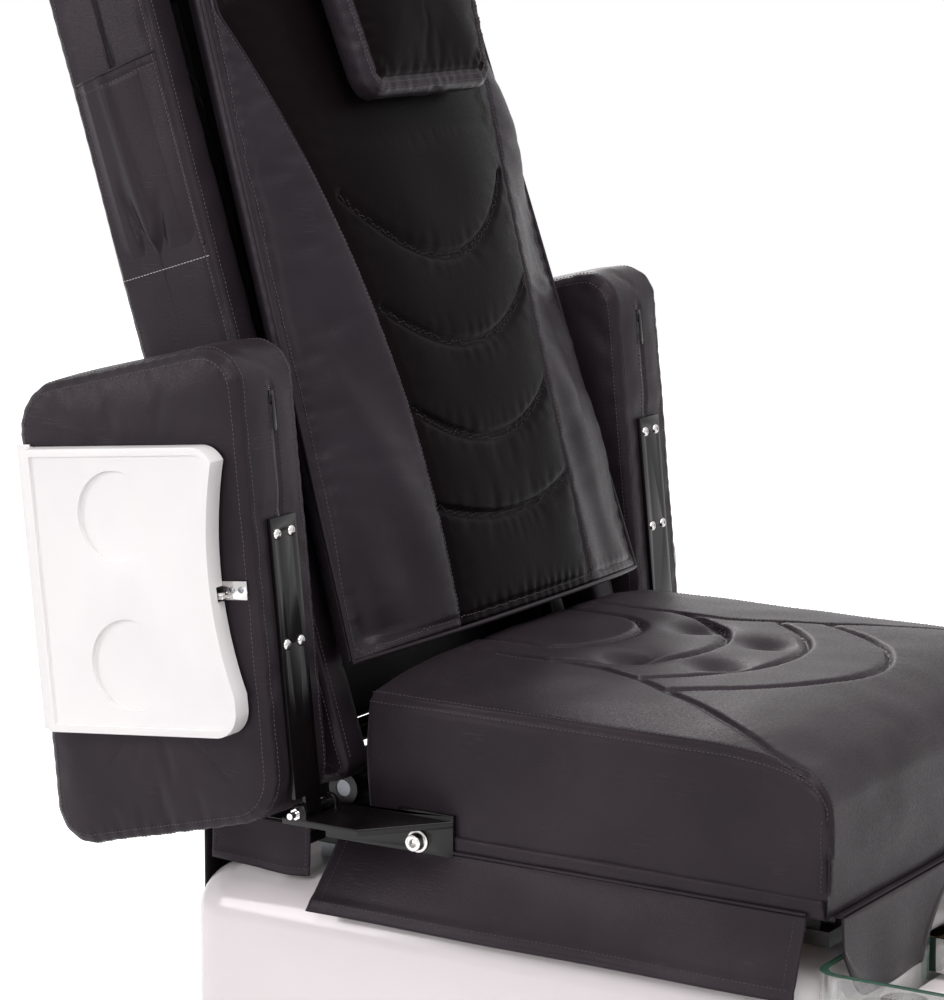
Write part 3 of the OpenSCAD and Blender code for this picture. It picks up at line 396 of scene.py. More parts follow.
def grid_shape(name, grid, rings, material):
    """A skin from rows of points, closed by rings behind its edge and a point in the middle."""
    rows, cols = len(grid), len(grid[0])
    edge = ([(0, i) for i in range(cols - 1)] + [(j, cols - 1) for j in range(rows - 1)]
            + [(rows - 1, i) for i in range(cols - 1, 0, -1)] + [(j, 0) for j in range(rows - 1, 0, -1)])
    points = [p for row in grid for p in row]
    faces = [(j * cols + i, j * cols + i + 1, (j + 1) * cols + i + 1, (j + 1) * cols + i)
             for j in range(rows - 1) for i in range(cols - 1)]
    last = [j * cols + i for j, i in edge]
    n = len(edge)
    for ring in rings([grid[j][i] for j, i in edge]):
        now = list(range(len(points), len(points) + n))
        points += ring
        faces += [(last[i], last[(i + 1) % n], now[(i + 1) % n], now[i]) for i in range(n)]
        last = now
    points.append(sum((Vector(points[i]) for i in last), Vector()) / n)
    faces += [(len(points) - 1, last[i], last[(i + 1) % n]) for i in range(n)]
    return shape(name, points, faces, material)


print("a 100 x 60 mm outline has", len(outline(0.1, 0.06, 0.01)), "points")

# %% [markdown]
# Foam pushes its cover outwards everywhere but at the seams, where thread holds it. The Cloth
# modifier does the same: pressure inside, seams pinned, and a little slack in the skin, so that it
# gathers beside the seams. Twenty frames are enough, and the result is stored as plain mesh.

# %% Swell, press and pucker
def swell(piece, held, cap, slack=0.01, pressure=4.0):
    """Blows a cushion up between the points that are held, no further than cap."""
    mesh = piece.data
    start = np.empty(len(mesh.vertices) * 3)
    mesh.vertices.foreach_get("co", start)
    start = start.reshape(-1, 3)
    group = piece.vertex_groups.new(name="held")
    group.add([int(i) for i in np.flatnonzero(held(start))], 1.0, "REPLACE")
    cloth = piece.modifiers.new("swell", "CLOTH")
    rules = cloth.settings
    rules.vertex_group_mass = "held"
    rules.use_pressure, rules.uniform_pressure_force = True, pressure
    rules.effector_weights.gravity = 0.0
    rules.shrink_min = -slack
    rules.tension_stiffness = rules.compression_stiffness = 20.0
    rules.bending_stiffness = 2.0
    for step in range(1, 21):
        bpy.context.scene.frame_set(step)
    moved = piece.evaluated_get(bpy.context.evaluated_depsgraph_get()).data
    end = np.empty(len(start) * 3)
    moved.vertices.foreach_get("co", end)
    shift = end.reshape(-1, 3) - start
    length = np.linalg.norm(shift, axis=1, keepdims=True)
    shift *= np.minimum(1.0, cap / np.maximum(length, 1e-9))
    piece.modifiers.clear()
    piece.vertex_groups.clear()
    mesh.vertices.foreach_set("co", (start + shift).ravel())
    mesh.update()
    bpy.context.scene.frame_set(1)
    print(piece.name, "swelled by up to", round(float(np.linalg.norm(shift, axis=1).max()) * 1000, 1), "mm")


def finer(piece):
    """One level of subdivision, stored as plain mesh."""
    fine = piece.modifiers.new("finer", "SUBSURF")
    fine.levels = fine.render_levels = 1
    fine.use_limit_surface = False
    baked(piece)
    piece.data.shade_smooth()


def dense(line, step=0.0015):
    """The points of a line, no further apart than step."""
    points = []
    for a, b in zip(line, line[1:]):
        a, b = Vector(a), Vector(b)
        count = max(1, math.ceil((b - a).length / step))
        points += [a.lerp(b, k / count) for k in range(count)]
    return np.array(points + [Vector(line[-1])])


def skin_points(mesh):
    """The points of a mesh and their normals, as two arrays."""
    co, normals = np.empty(len(mesh.vertices) * 3), np.empty(len(mesh.vertices) * 3)
    mesh.vertices.foreach_get("co", co)
    mesh.vertex_normals.foreach_get("vector", normals)
    return co.reshape(-1, 3), normals.reshape(-1, 3)


def skin(piece):
    """The search tree of a piece's surface."""
    return BVHTree.FromObject(piece, bpy.context.evaluated_depsgraph_get())


def laid_on(surface, line, lift=0.0):
    """Moves a line onto the surface in a search tree."""
    laid = []
    for point in dense(line, 0.004):
        near, normal, face, gap = surface.find_nearest(Vector(point))
        laid.append(near + normal * lift)
    return laid


def pressed(piece, lines, depth, width, pucker=0.0, spacing=0.014):
    """Draws the skin in along seams, with small gathers every spacing beside them."""
    mesh = piece.data
    co, normals = skin_points(mesh)
    surface = skin(piece)
    paths = [dense(laid_on(surface, line), 0.002) for line in lines]
    along = np.concatenate([np.append(0, np.cumsum(np.linalg.norm(np.diff(path, axis=0), axis=1)))
                            for path in paths])
    path = np.concatenate(paths)
    seams = KDTree(len(path))
    for k, point in enumerate(path):
        seams.insert(point, k)
    seams.balance()
    reach = 6 * width
    near = np.flatnonzero(np.all((co > path.min(0) - reach) & (co < path.max(0) + reach), axis=1))
    found = [seams.find(point)[1:] for point in co[near]]
    close = np.array([k for k, gap in found], int)
    gap = np.array([gap for k, gap in found])
    fold = depth * np.exp(-(gap / width) ** 2)
    wave = np.sin(along[close] * 2 * math.pi / spacing + 2.0 * np.sin(along[close] * 37.0))
    fold += pucker * wave * np.exp(-((gap - 2.2 * width) / (2.0 * width)) ** 2)
    co[near] -= normals[near] * fold[:, None]
    mesh.vertices.foreach_set("co", co.ravel())
    mesh.update()


def rumpled(piece, height):
    """Moves each point along its normal by height(point), for folds that the foam doesn't make."""
    co, normals = skin_points(piece.data)
    co += normals * np.array([height(Vector(point)) for point in co])[:, None]
    piece.data.vertices.foreach_set("co", co.ravel())
    piece.data.update()


def folds(point, size, amount, stretch=(1, 1, 1), seed=0.0):
    """Soft random folds of about one size, longer along the axes with a small stretch."""
    scaled = Vector((point[0] * stretch[0], point[1] * stretch[1], point[2] * stretch[2] + seed)) / size
    return amount * noise.noise(scaled)


print("upholstery helpers ready, simulation", "on")

# %% [markdown]
# Thousands of stitches follow the seams. Geometry Nodes lay them: a seam's points become a curve, the
# curve is cut to the stitch pitch, and each cut gets a short bead of thread turned along the seam.

# %% Stitch tree
stitch_row = bpy.data.node_groups.new("stitch_row", "GeometryNodeTree")
stitch_row.interface.new_socket(name="Seam", in_out="INPUT", socket_type="NodeSocketGeometry")
for label in ("Pitch", "Stitch Length", "Thread Radius"):
    stitch_row.interface.new_socket(name=label, in_out="INPUT", socket_type="NodeSocketFloat")
stitch_row.interface.new_socket(name="Thread", in_out="INPUT", socket_type="NodeSocketMaterial")
stitch_row.interface.new_socket(name="Stitches", in_out="OUTPUT", socket_type="NodeSocketGeometry")
given = stitch_row.nodes.new("NodeGroupInput").outputs
seam_curve = add(stitch_row, "GeometryNodeMeshToCurve", {"Mesh": given["Seam"]})
cut_up = add(stitch_row, "GeometryNodeResampleCurve",
             {"Curve": seam_curve.outputs[0], "Length": given["Pitch"]}, mode="LENGTH")
tangent = add(stitch_row, "GeometryNodeInputTangent")
turned = add(stitch_row, "FunctionNodeAlignRotationToVector", {"Vector": tangent.outputs[0]}, axis="Z")
bead = add(stitch_row, "GeometryNodeMeshUVSphere", {"Segments": 6, "Rings": 4, "Radius": 1.0})
half = add(stitch_row, "ShaderNodeMath", {0: given["Stitch Length"], 1: 0.5}, operation="MULTIPLY")
bead_size = add(stitch_row, "ShaderNodeCombineXYZ", {"X": given["Thread Radius"], "Y": given["Thread Radius"],
                                                     "Z": half.outputs[0]})
beads = add(stitch_row, "GeometryNodeInstanceOnPoints",
            {"Points": cut_up.outputs[0], "Instance": bead.outputs[0],
             "Rotation": turned.outputs[0], "Scale": bead_size.outputs[0]})
solid_beads = add(stitch_row, "GeometryNodeRealizeInstances", {"Geometry": beads.outputs[0]})
painted = add(stitch_row, "GeometryNodeSetMaterial",
              {"Geometry": solid_beads.outputs[0], "Material": given["Thread"]})
result = stitch_row.nodes.new("NodeGroupOutput")
stitch_row.links.new(painted.outputs[0], result.inputs[0])
print("stitch tree has", len(stitch_row.nodes), "nodes")


# %% Sew a set of seams
def grown(name, source, tree, body, settings):
    """Runs a Geometry Nodes tree on a mesh and keeps the result as a plain piece."""
    seed = bpy.data.objects.new(name + "_path", source)
    bpy.context.scene.collection.objects.link(seed)
    grow = seed.modifiers.new("grow", "NODES")
    grow.node_group = tree
    for item in tree.interface.items_tree:
        if item.name in settings and item.in_out == "INPUT":
            grow[item.identifier] = settings[item.name]
    mesh = bpy.data.meshes.new_from_object(seed.evaluated_get(bpy.context.evaluated_depsgraph_get()))
    bpy.data.objects.remove(seed)
    mesh.shade_smooth()
    return place_piece(name, mesh, body)


def sewn(name, piece, lines, body, thread, pitch=0.0042, length=0.0032, radius=0.00045, lift=0.0002):
    """Rows of stitches along lines laid on a piece's skin."""
    points, edges = [], []
    surface = skin(piece)
    for line in lines:
        laid = laid_on(surface, line, lift)
        edges += [(len(points) + k, len(points) + k + 1) for k in range(len(laid) - 1)]
        points += laid
    rows = bpy.data.meshes.new(name + "_rows")
    rows.from_pydata([tuple(p) for p in points], edges, [])
    stitches = grown(name, rows, stitch_row, body,
                     {"Pitch": pitch, "Stitch Length": length, "Thread Radius": radius, "Thread": thread})
    print(name, len(stitches.data.polygons) // 24, "stitches")
    return stitches


def welt(name, line, radius, body, material, closed=False, sides=10):
    """A round cord of leather along a line, closed at its ends."""
    path = [Vector(p) for p in line]
    rings = []
    side_way = None
    for i, point in enumerate(path):
        before = path[i - 1] if i or closed else path[0]
        after = path[(i + 1) % len(path)] if i + 1 < len(path) or closed else path[-1]
        way = (after - before).normalized()
        if side_way is None:
            side_way = way.orthogonal()
        side_way = (side_way - way * side_way.dot(way)).normalized()
        other = way.cross(side_way)
        rings.append([point + (side_way * math.cos(t) + other * math.sin(t)) * radius
                      for t in (2 * math.pi * k / sides for k in range(sides))])
    if closed:
        rings.append(rings[0])
    n = sides
    points = [p for ring in (rings[:-1] if closed else rings) for p in ring]
    count = len(rings)
    wrap = len(points)
    faces = [tuple(q % wrap for q in (j * n + i, j * n + (i + 1) % n, (j + 1) * n + (i + 1) % n,
                                      (j + 1) * n + i))
             for j in range(count - 1) for i in range(n)]
    if not closed:
        faces += [tuple(range(n)), tuple(range(wrap - n, wrap))]
    return place_piece(name, shape(name, points, faces, material), body)

# %% [markdown]
# The seat cushion has a box of three panels. A top panel runs over the front edge and down to the pan,
# and a band on each side is sewn to it along a curve that starts near the back and meets the front
# corner. A second, double-stitched seam joins the band to the side. Four nested channels are sewn
# through the foam, and four tufts are pulled down between them.

# %% Seat sizes
SEAT_W, SEAT_FRONT, SEAT_L = 0.548, -0.071, 0.470
PAN_TOP, SEAT_EDGE = 0.5183, 0.639
FRONT_ROLL = 0.026
CHANNELS = [(0.203, 0.321), (0.182, 0.233), (0.130, 0.150), (0.080, 0.058)]
CHANNEL_REAR = 0.339
TUFTS = [(-0.055, 0.155), (0.050, 0.155), (-0.075, 0.242), (0.075, 0.242)]
BAND_SEAM = [(0.124, 0.385), (0.124, 0.350), (0.127, 0.239), (0.140, 0.200), (0.155, 0.171), (0.195, 0.097),
             (0.235, 0.036), (0.262, -0.012), (0.271, -0.045)]


def seat_height(x, y):
    """Height of the foam's top before the channels and tufts are sewn."""
    across = 1 - abs(2 * x / SEAT_W) ** 4
    along = 1 - max(0.0, 1 - (y - SEAT_FRONT) / 0.12) ** 2.4
    return SEAT_EDGE - 0.020 * (1 - along) + 0.017 * across * along


def seat_point(x, y):
    return Vector((x, y, seat_height(x, y)))


print("crown", round(seat_height(0, 0.2), 4), "m above the floor")


# %% Seat cushion
def seat_rows():
    rows = []
    for k in range(8):
        turn = math.radians(90 * k / 8)
        y = SEAT_FRONT + FRONT_ROLL * (1 - math.cos(turn))
        drop = FRONT_ROLL * (1 - math.sin(turn))
        rows.append((y, drop))
    steps = 74
    return rows + [(SEAT_FRONT + FRONT_ROLL + (SEAT_L - FRONT_ROLL) * k / steps, 0.0)
                   for k in range(steps + 1)]


def seat_walls(edge):
    """Rings down the sides: a slight belly, then straight down over the edge of the pan."""
    for k in range(1, 17):
        v = k / 16
        out = 0.0028 * math.sin(math.pi * v)
        ring = []
        for p in edge:
            x = p[0] * (1 + 2 * out / SEAT_W) if abs(p[0]) > SEAT_W / 2 - 0.001 else p[0]
            y = p[1] - out if p[1] < SEAT_FRONT + 0.001 else (
                p[1] + out if p[1] > SEAT_FRONT + SEAT_L - 0.001 else p[1])
            if p[1] < SEAT_FRONT + FRONT_ROLL:
                y = SEAT_FRONT + (p[1] - SEAT_FRONT) * (1 - v) - out
            ring.append((x, y, p[2] + (PAN_TOP - p[2]) * v))
        yield ring
    # The cover goes on over the pan's edge and turns in under it
    for grow, z in ((0.0, PAN_TOP - 0.006), (0.0, PAN_TOP - 0.0172), (-0.0012, PAN_TOP - 0.0188),
                    (-0.0024, PAN_TOP - 0.0172), (-0.0026, PAN_TOP - 0.004), (-0.004, PAN_TOP)):
        yield [(p[0] + math.copysign(grow, p[0]), p[1] + (-grow if p[1] < 0.0 else grow), z) for p in ring]
    yield [(p[0] * 0.9, p[1] * 0.9 + 0.016, PAN_TOP) for p in ring]


columns = [SEAT_W * (i / 90 - 0.5) for i in range(91)]
grid = [[(x, y, seat_height(x, y) - drop) for x in columns] for y, drop in seat_rows()]
seat = place_piece("seat_upholstery", grid_shape("seat_upholstery", grid, seat_walls, BLACK_LEATHER),
                   "seat")
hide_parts("seat_cushion")


def band_x(y):
    """How far the band's seam lies from the middle at y."""
    return np.interp(y, [row[1] for row in reversed(BAND_SEAM)], [row[0] for row in reversed(BAND_SEAM)])


def channel(x_reach, y_reach):
    """A U open to the back, with straight sides and half an ellipse in front. It ends at the band's seam."""
    rear = min(0.395, CHANNEL_REAR + 0.056)
    front = [(x_reach * math.cos(t), CHANNEL_REAR - y_reach * math.sin(t))
             for t in (math.pi * k / 48 for k in range(49))]
    whole = [(x_reach, rear)] + front + [(-x_reach, rear)]
    return [seat_point(x, y) for x, y in whole if abs(x) < band_x(y)]


channel_lines = [channel(*reach) for reach in CHANNELS]
band_lines = [[seat_point(side * x, y) for x, y in BAND_SEAM] for side in (-1, 1)]
edge_lines = []
for side in (-1, 1):
    top = [(side * SEAT_W / 2, y, seat_height(side * SEAT_W / 2, y) - drop)
           for y, drop in reversed(seat_rows())]
    corner = [(side * SEAT_W / 2, SEAT_FRONT, z) for z in (0.59, 0.57, 0.55, 0.525)]
    edge_lines.append(top + corner)
held_lines = np.concatenate([dense(line, 0.004) for line in channel_lines + band_lines + edge_lines])


def seat_held(co):
    low = co[:, 2] < PAN_TOP + 0.004
    near = np.zeros(len(co), bool)
    for part in np.array_split(np.arange(len(co)), 40):
        near[part] = np.linalg.norm(co[part, None] - held_lines[None], axis=2).min(1) < 0.0045
    return low | near


swell(seat, seat_held, cap=0.003, slack=0.003)
finer(seat)
print("seat has", len(seat.data.polygons), "faces")


# %% Seat seams, tufts and stitches
def seat_hollow(point):
    pull = -sum(0.0125 * math.exp(-(math.hypot(point.x - x, (point.y - y) * 0.9) / 0.022) ** 2)
                for x, y in TUFTS)
    if point.z < 0.6:
        pull = 0.0
    creases = folds(point, 0.05, 0.0011, (1, 1, 1.6), 3.0)
    return pull + creases


rumpled(seat, seat_hollow)
pressed(seat, channel_lines, depth=0.0062, width=0.0036, pucker=0.0001, spacing=0.02)
pressed(seat, band_lines, depth=0.0042, width=0.0034, pucker=0.0001)
pressed(seat, edge_lines, depth=0.0036, width=0.0028, pucker=0.0001)
pressed(seat, [[Vector(p) - Vector((0, 0, 0.0085)) for p in line[:-4]] for line in edge_lines],
        depth=0.0016, width=0.0022)


def beside(line, across, along=(0, 0, 0)):
    """The same line moved by a fixed step."""
    return [Vector(p) + Vector(across) + Vector(along) for p in line]


seat_rows_of_thread = []
for side, band, edge in ((-1, band_lines[0], edge_lines[0]), (1, band_lines[1], edge_lines[1])):
    seat_rows_of_thread += [beside(band[1:], (side * 0.005, 0, 0))]
    seat_rows_of_thread += [beside(edge[:-4], (0, 0, -0.007)), beside(edge[:-4], (-side * 0.006, 0, 0.001))]
    seat_rows_of_thread += [beside(edge[-5:], (0, 0.006, 0))]
sewn("seat_stitches", seat, seat_rows_of_thread, "seat", THREAD, radius=0.0005)
sewn("channel_stitches", seat, channel_lines, "seat", THREAD, radius=0.0004, lift=0.0)

# %% [markdown]
# Under the seat hang loose flaps that hide the gap above the tub. Each is one piece of leathercloth with
# a turned hem, so it is made as a sheet: a grid of points that hangs, ripples a little more towards its
# free edge, and is given its thickness by Solidify.

# %% Hanging sheets
def sheet_piece(name, rows, thickness, body, material, offset=-1.0):
    """A sheet from rows of points, with real thickness."""
    cols = len(rows[0])
    points = [p for row in rows for p in row]
    faces = [(j * cols + i, j * cols + i + 1, (j + 1) * cols + i + 1, (j + 1) * cols + i)
             for j in range(len(rows) - 1) for i in range(cols - 1)]
    mesh = bpy.data.meshes.new(name)
    mesh.from_pydata([tuple(p) for p in points], [], faces)
    mesh.materials.append(material)
    piece = place_piece(name, mesh, body)
    wall = piece.modifiers.new("wall", "SOLIDIFY")
    wall.thickness, wall.offset = thickness, offset
    baked(piece)
    piece.data.shade_smooth()
    return piece


def side_flap_point(side, u, v):
    """A place on a side flap, u from front to back and v from its top to its hem."""
    y0, y1 = -0.053, 0.430
    ripple = 0.0012 * v * math.sin(math.radians(u * 700))
    ripple += 0.0034 * math.sin(math.pi * v) * math.sin(math.radians(u * 480 + 60))
    x = 0.274 + 0.0038 + 0.043 * v ** 1.2 + ripple + 0.0015 * math.exp(-((v - 0.86) / 0.05) ** 2)
    return Vector((side * x, y0 + (y1 - y0 + 0.02 * v) * u - 0.010 * v, 0.5025 - 0.0655 * v))


for side, label in ((-1, "right"), (1, "left")):
    rows = [[side_flap_point(side, u / 150, v / 24) for u in range(151)] for v in range(25)]
    if side > 0:
        rows = [row[::-1] for row in rows]
    flap = sheet_piece("side_flap_" + label, rows, 0.0016, "seat", BLACK_LEATHER, offset=-1.0)
    if side < 0:
        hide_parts("side_flaps")
    hem = [side_flap_point(side, u / 60, 0.86) for u in range(1, 60)]
    ends = [[side_flap_point(side, u, v / 10) for v in range(1, 9)] for u in (0.022, 0.978)]
    top = [side_flap_point(side, u / 60, 0.05) for u in range(1, 60)]
    sewn("side_flap_stitches_" + label, flap, [hem] + ends, "seat", THREAD, radius=0.0004)
    welt("side_flap_edge_" + label,
         [side_flap_point(side, u / 80, 0.0) + Vector((side * 0.0006, 0, 0.0004)) for u in range(81)],
         0.0016, "seat", BLACK_LEATHER)
print("side flaps hang", round(0.497 - side_flap_point(1, 0.5, 1).z, 3), "m")

# %% [markdown]
# Behind each side flap a short rear flap hangs straight down. The front flap hangs inside the basin and
# is cut away over the spout. A long skirt closes the back of the tub.

# %% Rear flaps, front flap and skirt
BOX_FACES = [(0, 1, 3, 2), (4, 6, 7, 5), (0, 4, 5, 1), (2, 3, 7, 6), (0, 2, 6, 4), (1, 5, 7, 3)]


for side, label in ((-1, "right"), (1, "left")):
    rows = [[(side * (0.2755 + 0.0024 + 0.0015 * (v / 14) * (1 + math.sin(math.radians(u / 50 * 540)))
                      + 0.0008 * math.exp(-((v / 14 - 0.88) / 0.05) ** 2)),
              0.463 + 0.112 * u / 50, 0.506 - 0.050 * v / 14 - 0.002 * math.sin(u / 50 * 5) * v / 14)
             for u in range(51)] for v in range(15)]
    if side > 0:
        rows = [row[::-1] for row in rows]
    flap = sheet_piece("rear_flap_" + label, rows, 0.0014, "seat", BLACK_LEATHER)
    if side < 0:
        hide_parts("rear_flaps")
    sewn("rear_flap_stitches_" + label, flap,
         [[rows[12][u] for u in range(1, 50)], [rows[v][2] for v in range(1, 13)],
          [rows[v][48] for v in range(1, 13)]], "seat", PALE_THREAD, radius=0.0004)
    strap = shape("flap_strap_" + label,
                  [(side * x, y, z) for x in (0.205, 0.2755) for y in (0.4948, 0.5148)
                   for z in (0.4703, 0.4823)], BOX_FACES, BLACK_LEATHER)
    strap_piece = place_piece("flap_strap_" + label, strap, "seat")
    soften = strap_piece.modifiers.new("ease", "BEVEL")
    soften.width, soften.segments = 0.002, 3
    baked(strap_piece)


def front_flap_low(x):
    """The front flap's cut edge: high over the spout, low on both sides, rounded at the ends."""
    a = abs(x) * 1000
    low = 486 - 60 * (a / 92) ** 3 if a < 92 else (417 + 52 * ((a - 205) / 58) ** 2 if a > 205 else 417)
    return max(low, 417) / 1000


def front_flap_point(u, v, inset=0.0):
    x = 0.262 * (2 * u - 1)
    low = front_flap_low(x) + inset
    hem = 0.0008 * math.exp(-((v - 0.85) / 0.06) ** 2)
    y = -0.0766 - 0.0012 * v * (1 + math.sin(math.radians(x * 4000))) - hem
    return Vector((x, y - 0.0022, 0.499 - (0.499 - low) * v))


rows = [[front_flap_point(u / 160, v / 20) for u in range(161)] for v in range(21)]
front_flap = sheet_piece("front_flap_cloth", rows, 0.0014, "seat", BLACK_LEATHER)
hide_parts("front_flap")
sewn("front_flap_stitches", front_flap, [[front_flap_point(u / 100, 1.0, 0.006) for u in range(4, 97)]],
     "seat", THREAD, radius=0.0004)
batten = shape("front_flap_batten",
               [(x, y, z) for x in (-0.25, 0.25) for y in (-0.0762, -0.0362) for z in (0.495, 0.4999)],
               BOX_FACES, BLACK_LEATHER)
batten_piece = place_piece("front_flap_batten", batten, "seat")
soften = batten_piece.modifiers.new("ease", "BEVEL")
soften.width, soften.segments = 0.001, 2
baked(batten_piece)

rows = [[(-0.256 + 0.512 * u / 64, 0.6012 + 0.0008 * math.sin(u * 0.55) * v / 40, 0.498 - 0.438 * v / 40)
         for u in range(65)][::-1] for v in range(41)]
skirt = sheet_piece("rear_skirt_cloth", rows, 0.0022, "base", BLACK_LEATHER, offset=1.0)
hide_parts("rear_skirt")
skirt_hem = [(-0.248, 0.6035, 0.49), (-0.248, 0.6035, 0.068), (0.248, 0.6035, 0.068), (0.248, 0.6035, 0.49)]
sewn("rear_skirt_stitches", skirt, [skirt_hem], "base", THREAD, radius=0.0004)
print("front flap reaches down to", round(front_flap_low(0.15), 3))

# %% [markdown]
# A raised arm shows its underside. Its pad is a foam block in a boxed cover: an outer panel, an inner
# panel and a gusset between them, with a topstitched seam along both edges. A zip closes the gusset.

# %% Arm frame and pads
ARM_LEAN = math.radians(5.86)
ARM_Y, ARM_Z = 0.481, 0.940


def arm_place(x, w, a):
    """Across, rearwards and up the arm, to the chair's own axes."""
    return Vector((x, ARM_Y + a * math.sin(ARM_LEAN) + w * math.cos(ARM_LEAN),
                   ARM_Z + a * math.cos(ARM_LEAN) - w * math.sin(ARM_LEAN)))


PAD_W, PAD_A, ARM_D, ARM_L = 0.1128, -0.205, 0.255, 0.435
ARM_OUT, ARM_IN = 0.3885, 0.2915
ZIP_X, ZIP_W = 0.338, -0.0147


def pad_outline(inset):
    radius = max(0.003, 0.042 - 0.9 * inset)
    return [(PAD_W + p, PAD_A + q - 0.15 * p)
            for p, q in outline(ARM_D - 2 * inset, ARM_L - 2 * inset, radius, corner=10, side=30)]


def pad_rings(side):
    insets = [0.118 * (1 - k / 18) + 0.004 * (k / 18) for k in range(18)]
    face = [(inset, 0.0046 * math.exp(-(inset / 0.011))) for inset in insets]
    edge = [(0.0022, 0.0040), (0.0009, 0.0068), (0.0, 0.0105)]
    wall = [(0.0, 0.0105 + (0.097 - 0.021) * k / 12) for k in range(1, 13)]
    stack = face + edge + wall
    stack += [(inset, 0.097 - depth) for inset, depth in reversed(face + edge[:2])]
    return [[arm_place(side * (ARM_OUT - depth), w, a) for w, a in pad_outline(inset)]
            for inset, depth in stack]


def from_arm(co):
    """The chair's axes back to the arm's: across, rearwards and up the arm."""
    y, z = co[:, 1] - ARM_Y, co[:, 2] - ARM_Z
    return np.stack([np.abs(co[:, 0]), y * math.cos(ARM_LEAN) - z * math.sin(ARM_LEAN),
                     y * math.sin(ARM_LEAN) + z * math.cos(ARM_LEAN)], axis=1)


def arm_held(co):
    """Points under thread, under the bar, and where the tray and its hinge lie close."""
    x, w, a = from_arm(co).T
    under = (w < -0.012) & (np.abs(x - 0.34) < 0.024) & (a < -0.12)
    out_gap, in_gap = np.abs(x - ARM_OUT), np.abs(x - ARM_IN)
    seam = (out_gap < 0.0075) & (out_gap > 0.003) | (in_gap < 0.0075) & (in_gap > 0.003)
    tray = (x > ARM_OUT - 0.002) & (w > 0.005) & (a < -0.05) & (a > -0.335)
    return under | seam | tray


def arm_height(point):
    x, w, a = from_arm(np.array([point]))[0]
    near_tray = x > ARM_OUT - 0.003 and w > -0.002 and -0.345 < a < -0.045
    amount = 0.0002 if near_tray or (w < -0.012 and a < -0.12) else 0.0008
    return folds((x, w, a), 0.055, amount, seed=1.0) + folds((x, w, a), 0.02, amount * 0.35, seed=5.0)


def arm_seam(side, inset, depth):
    loop = [arm_place(side * (ARM_OUT - depth), w, a) for w, a in pad_outline(inset)]
    return loop + [loop[0]]


for side, label in ((-1, "right"), (1, "left")):
    body = "arm_" + label
    pad = place_piece("arm_upholstery_" + label,
                      ring_shape("arm_upholstery_" + label, pad_rings(side), BLACK_LEATHER), body)
    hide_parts("arm_pad_" + label)
    swell(pad, arm_held, cap=0.0025, slack=0.004)
    finer(pad)
    rumpled(pad, arm_height)
    seams = [arm_seam(side, 0.0022, 0.0040), arm_seam(side, 0.0022, 0.093)]
    pressed(pad, seams, depth=0.0014, width=0.0024, pucker=0.0004, spacing=0.016)
    zip_line = [arm_place(side * ZIP_X, ZIP_W, a / 1000) for a in (-14, -50, -100, -131)]
    pressed(pad, [zip_line], depth=0.0026, width=0.0030)
    sewn("arm_stitches_" + label, pad,
         [arm_seam(side, 0.0085, 0.001), arm_seam(side, 0.0085, 0.096), arm_seam(side, 0.0, 0.0125),
          arm_seam(side, 0.0, 0.0845)],
         body, PALE_THREAD, radius=0.0004)
    zip_sides = [beside(zip_line, (step, 0, 0)) for step in (-0.0062, 0.0062)]
    sewn("zip_stitches_" + label, pad, zip_sides, body, THREAD, radius=0.0004)
    sewn("zip_teeth_" + label, pad, [zip_line], body, ZINC, pitch=0.0018, length=0.0009, radius=0.0017,
         lift=-0.0008)
print("arm pads made")


# %% Zip sliders
def slider(name, at, side, body):
    """A zip slider: a small shield with a pull that hangs from it."""
    outline_points = [(-0.003, 0.006), (0.003, 0.006), (0.0038, -0.004), (0.0, -0.007), (-0.0038, -0.004)]
    pull = [(-0.0016, 0.002), (0.0016, 0.002), (0.0028, -0.026), (0.0014, -0.031), (-0.0014, -0.031),
            (-0.0028, -0.026)]
    points, faces = [], []
    for shape_points, low, high in ((outline_points, 0.0, 0.0028), (pull, 0.0030, 0.0042)):
        n, start = len(shape_points), len(points)
        points += [arm_place(side * ZIP_X + p, ZIP_W - depth, at + q)
                   for depth in (low, high) for p, q in shape_points]
        faces += [tuple(range(start, start + n)), tuple(range(start + n, start + 2 * n))]
        faces += [(start + i, start + (i + 1) % n, start + n + (i + 1) % n, start + n + i) for i in range(n)]
    piece = place_piece(name, shape(name, points, faces, POWDER), body)
    ease = piece.modifiers.new("ease", "BEVEL")
    ease.width, ease.segments = 0.0005, 2
    return baked(piece)


for side, label in ((-1, "right"), (1, "left")):
    slider("zip_slider_" + label, -0.024, side, "arm_" + label)
print("zip sliders made")

# %% [markdown]
# The back is a frame with a padded panel on each side, a plain panel behind, and a thick massage cover
# in front. Its parts lie in their own frame, which leans back by 17.6 degrees.

# %% Back frame and side panels
BACK_LEAN = math.radians(17.6)
BACK_Y, BACK_Z = 0.450, 0.640


def back_place(x, n, s):
    """Across, rearwards through the back and up the back, to the chair's own axes."""
    return Vector((x, BACK_Y + s * math.sin(BACK_LEAN) + n * math.cos(BACK_LEAN),
                   BACK_Z + s * math.cos(BACK_LEAN) - n * math.sin(BACK_LEAN)))


def from_back(co):
    y, z = co[:, 1] - BACK_Y, co[:, 2] - BACK_Z
    return np.stack([co[:, 0], y * math.cos(BACK_LEAN) - z * math.sin(BACK_LEAN),
                     y * math.sin(BACK_LEAN) + z * math.cos(BACK_LEAN)], axis=1)


def side_outline(inset):
    return [(0.056 + p, 0.340 + q)
            for p, q in outline(0.112 - 2 * inset, 0.860 - 2 * inset, max(0.002, 0.014 - inset), 6, 52)]


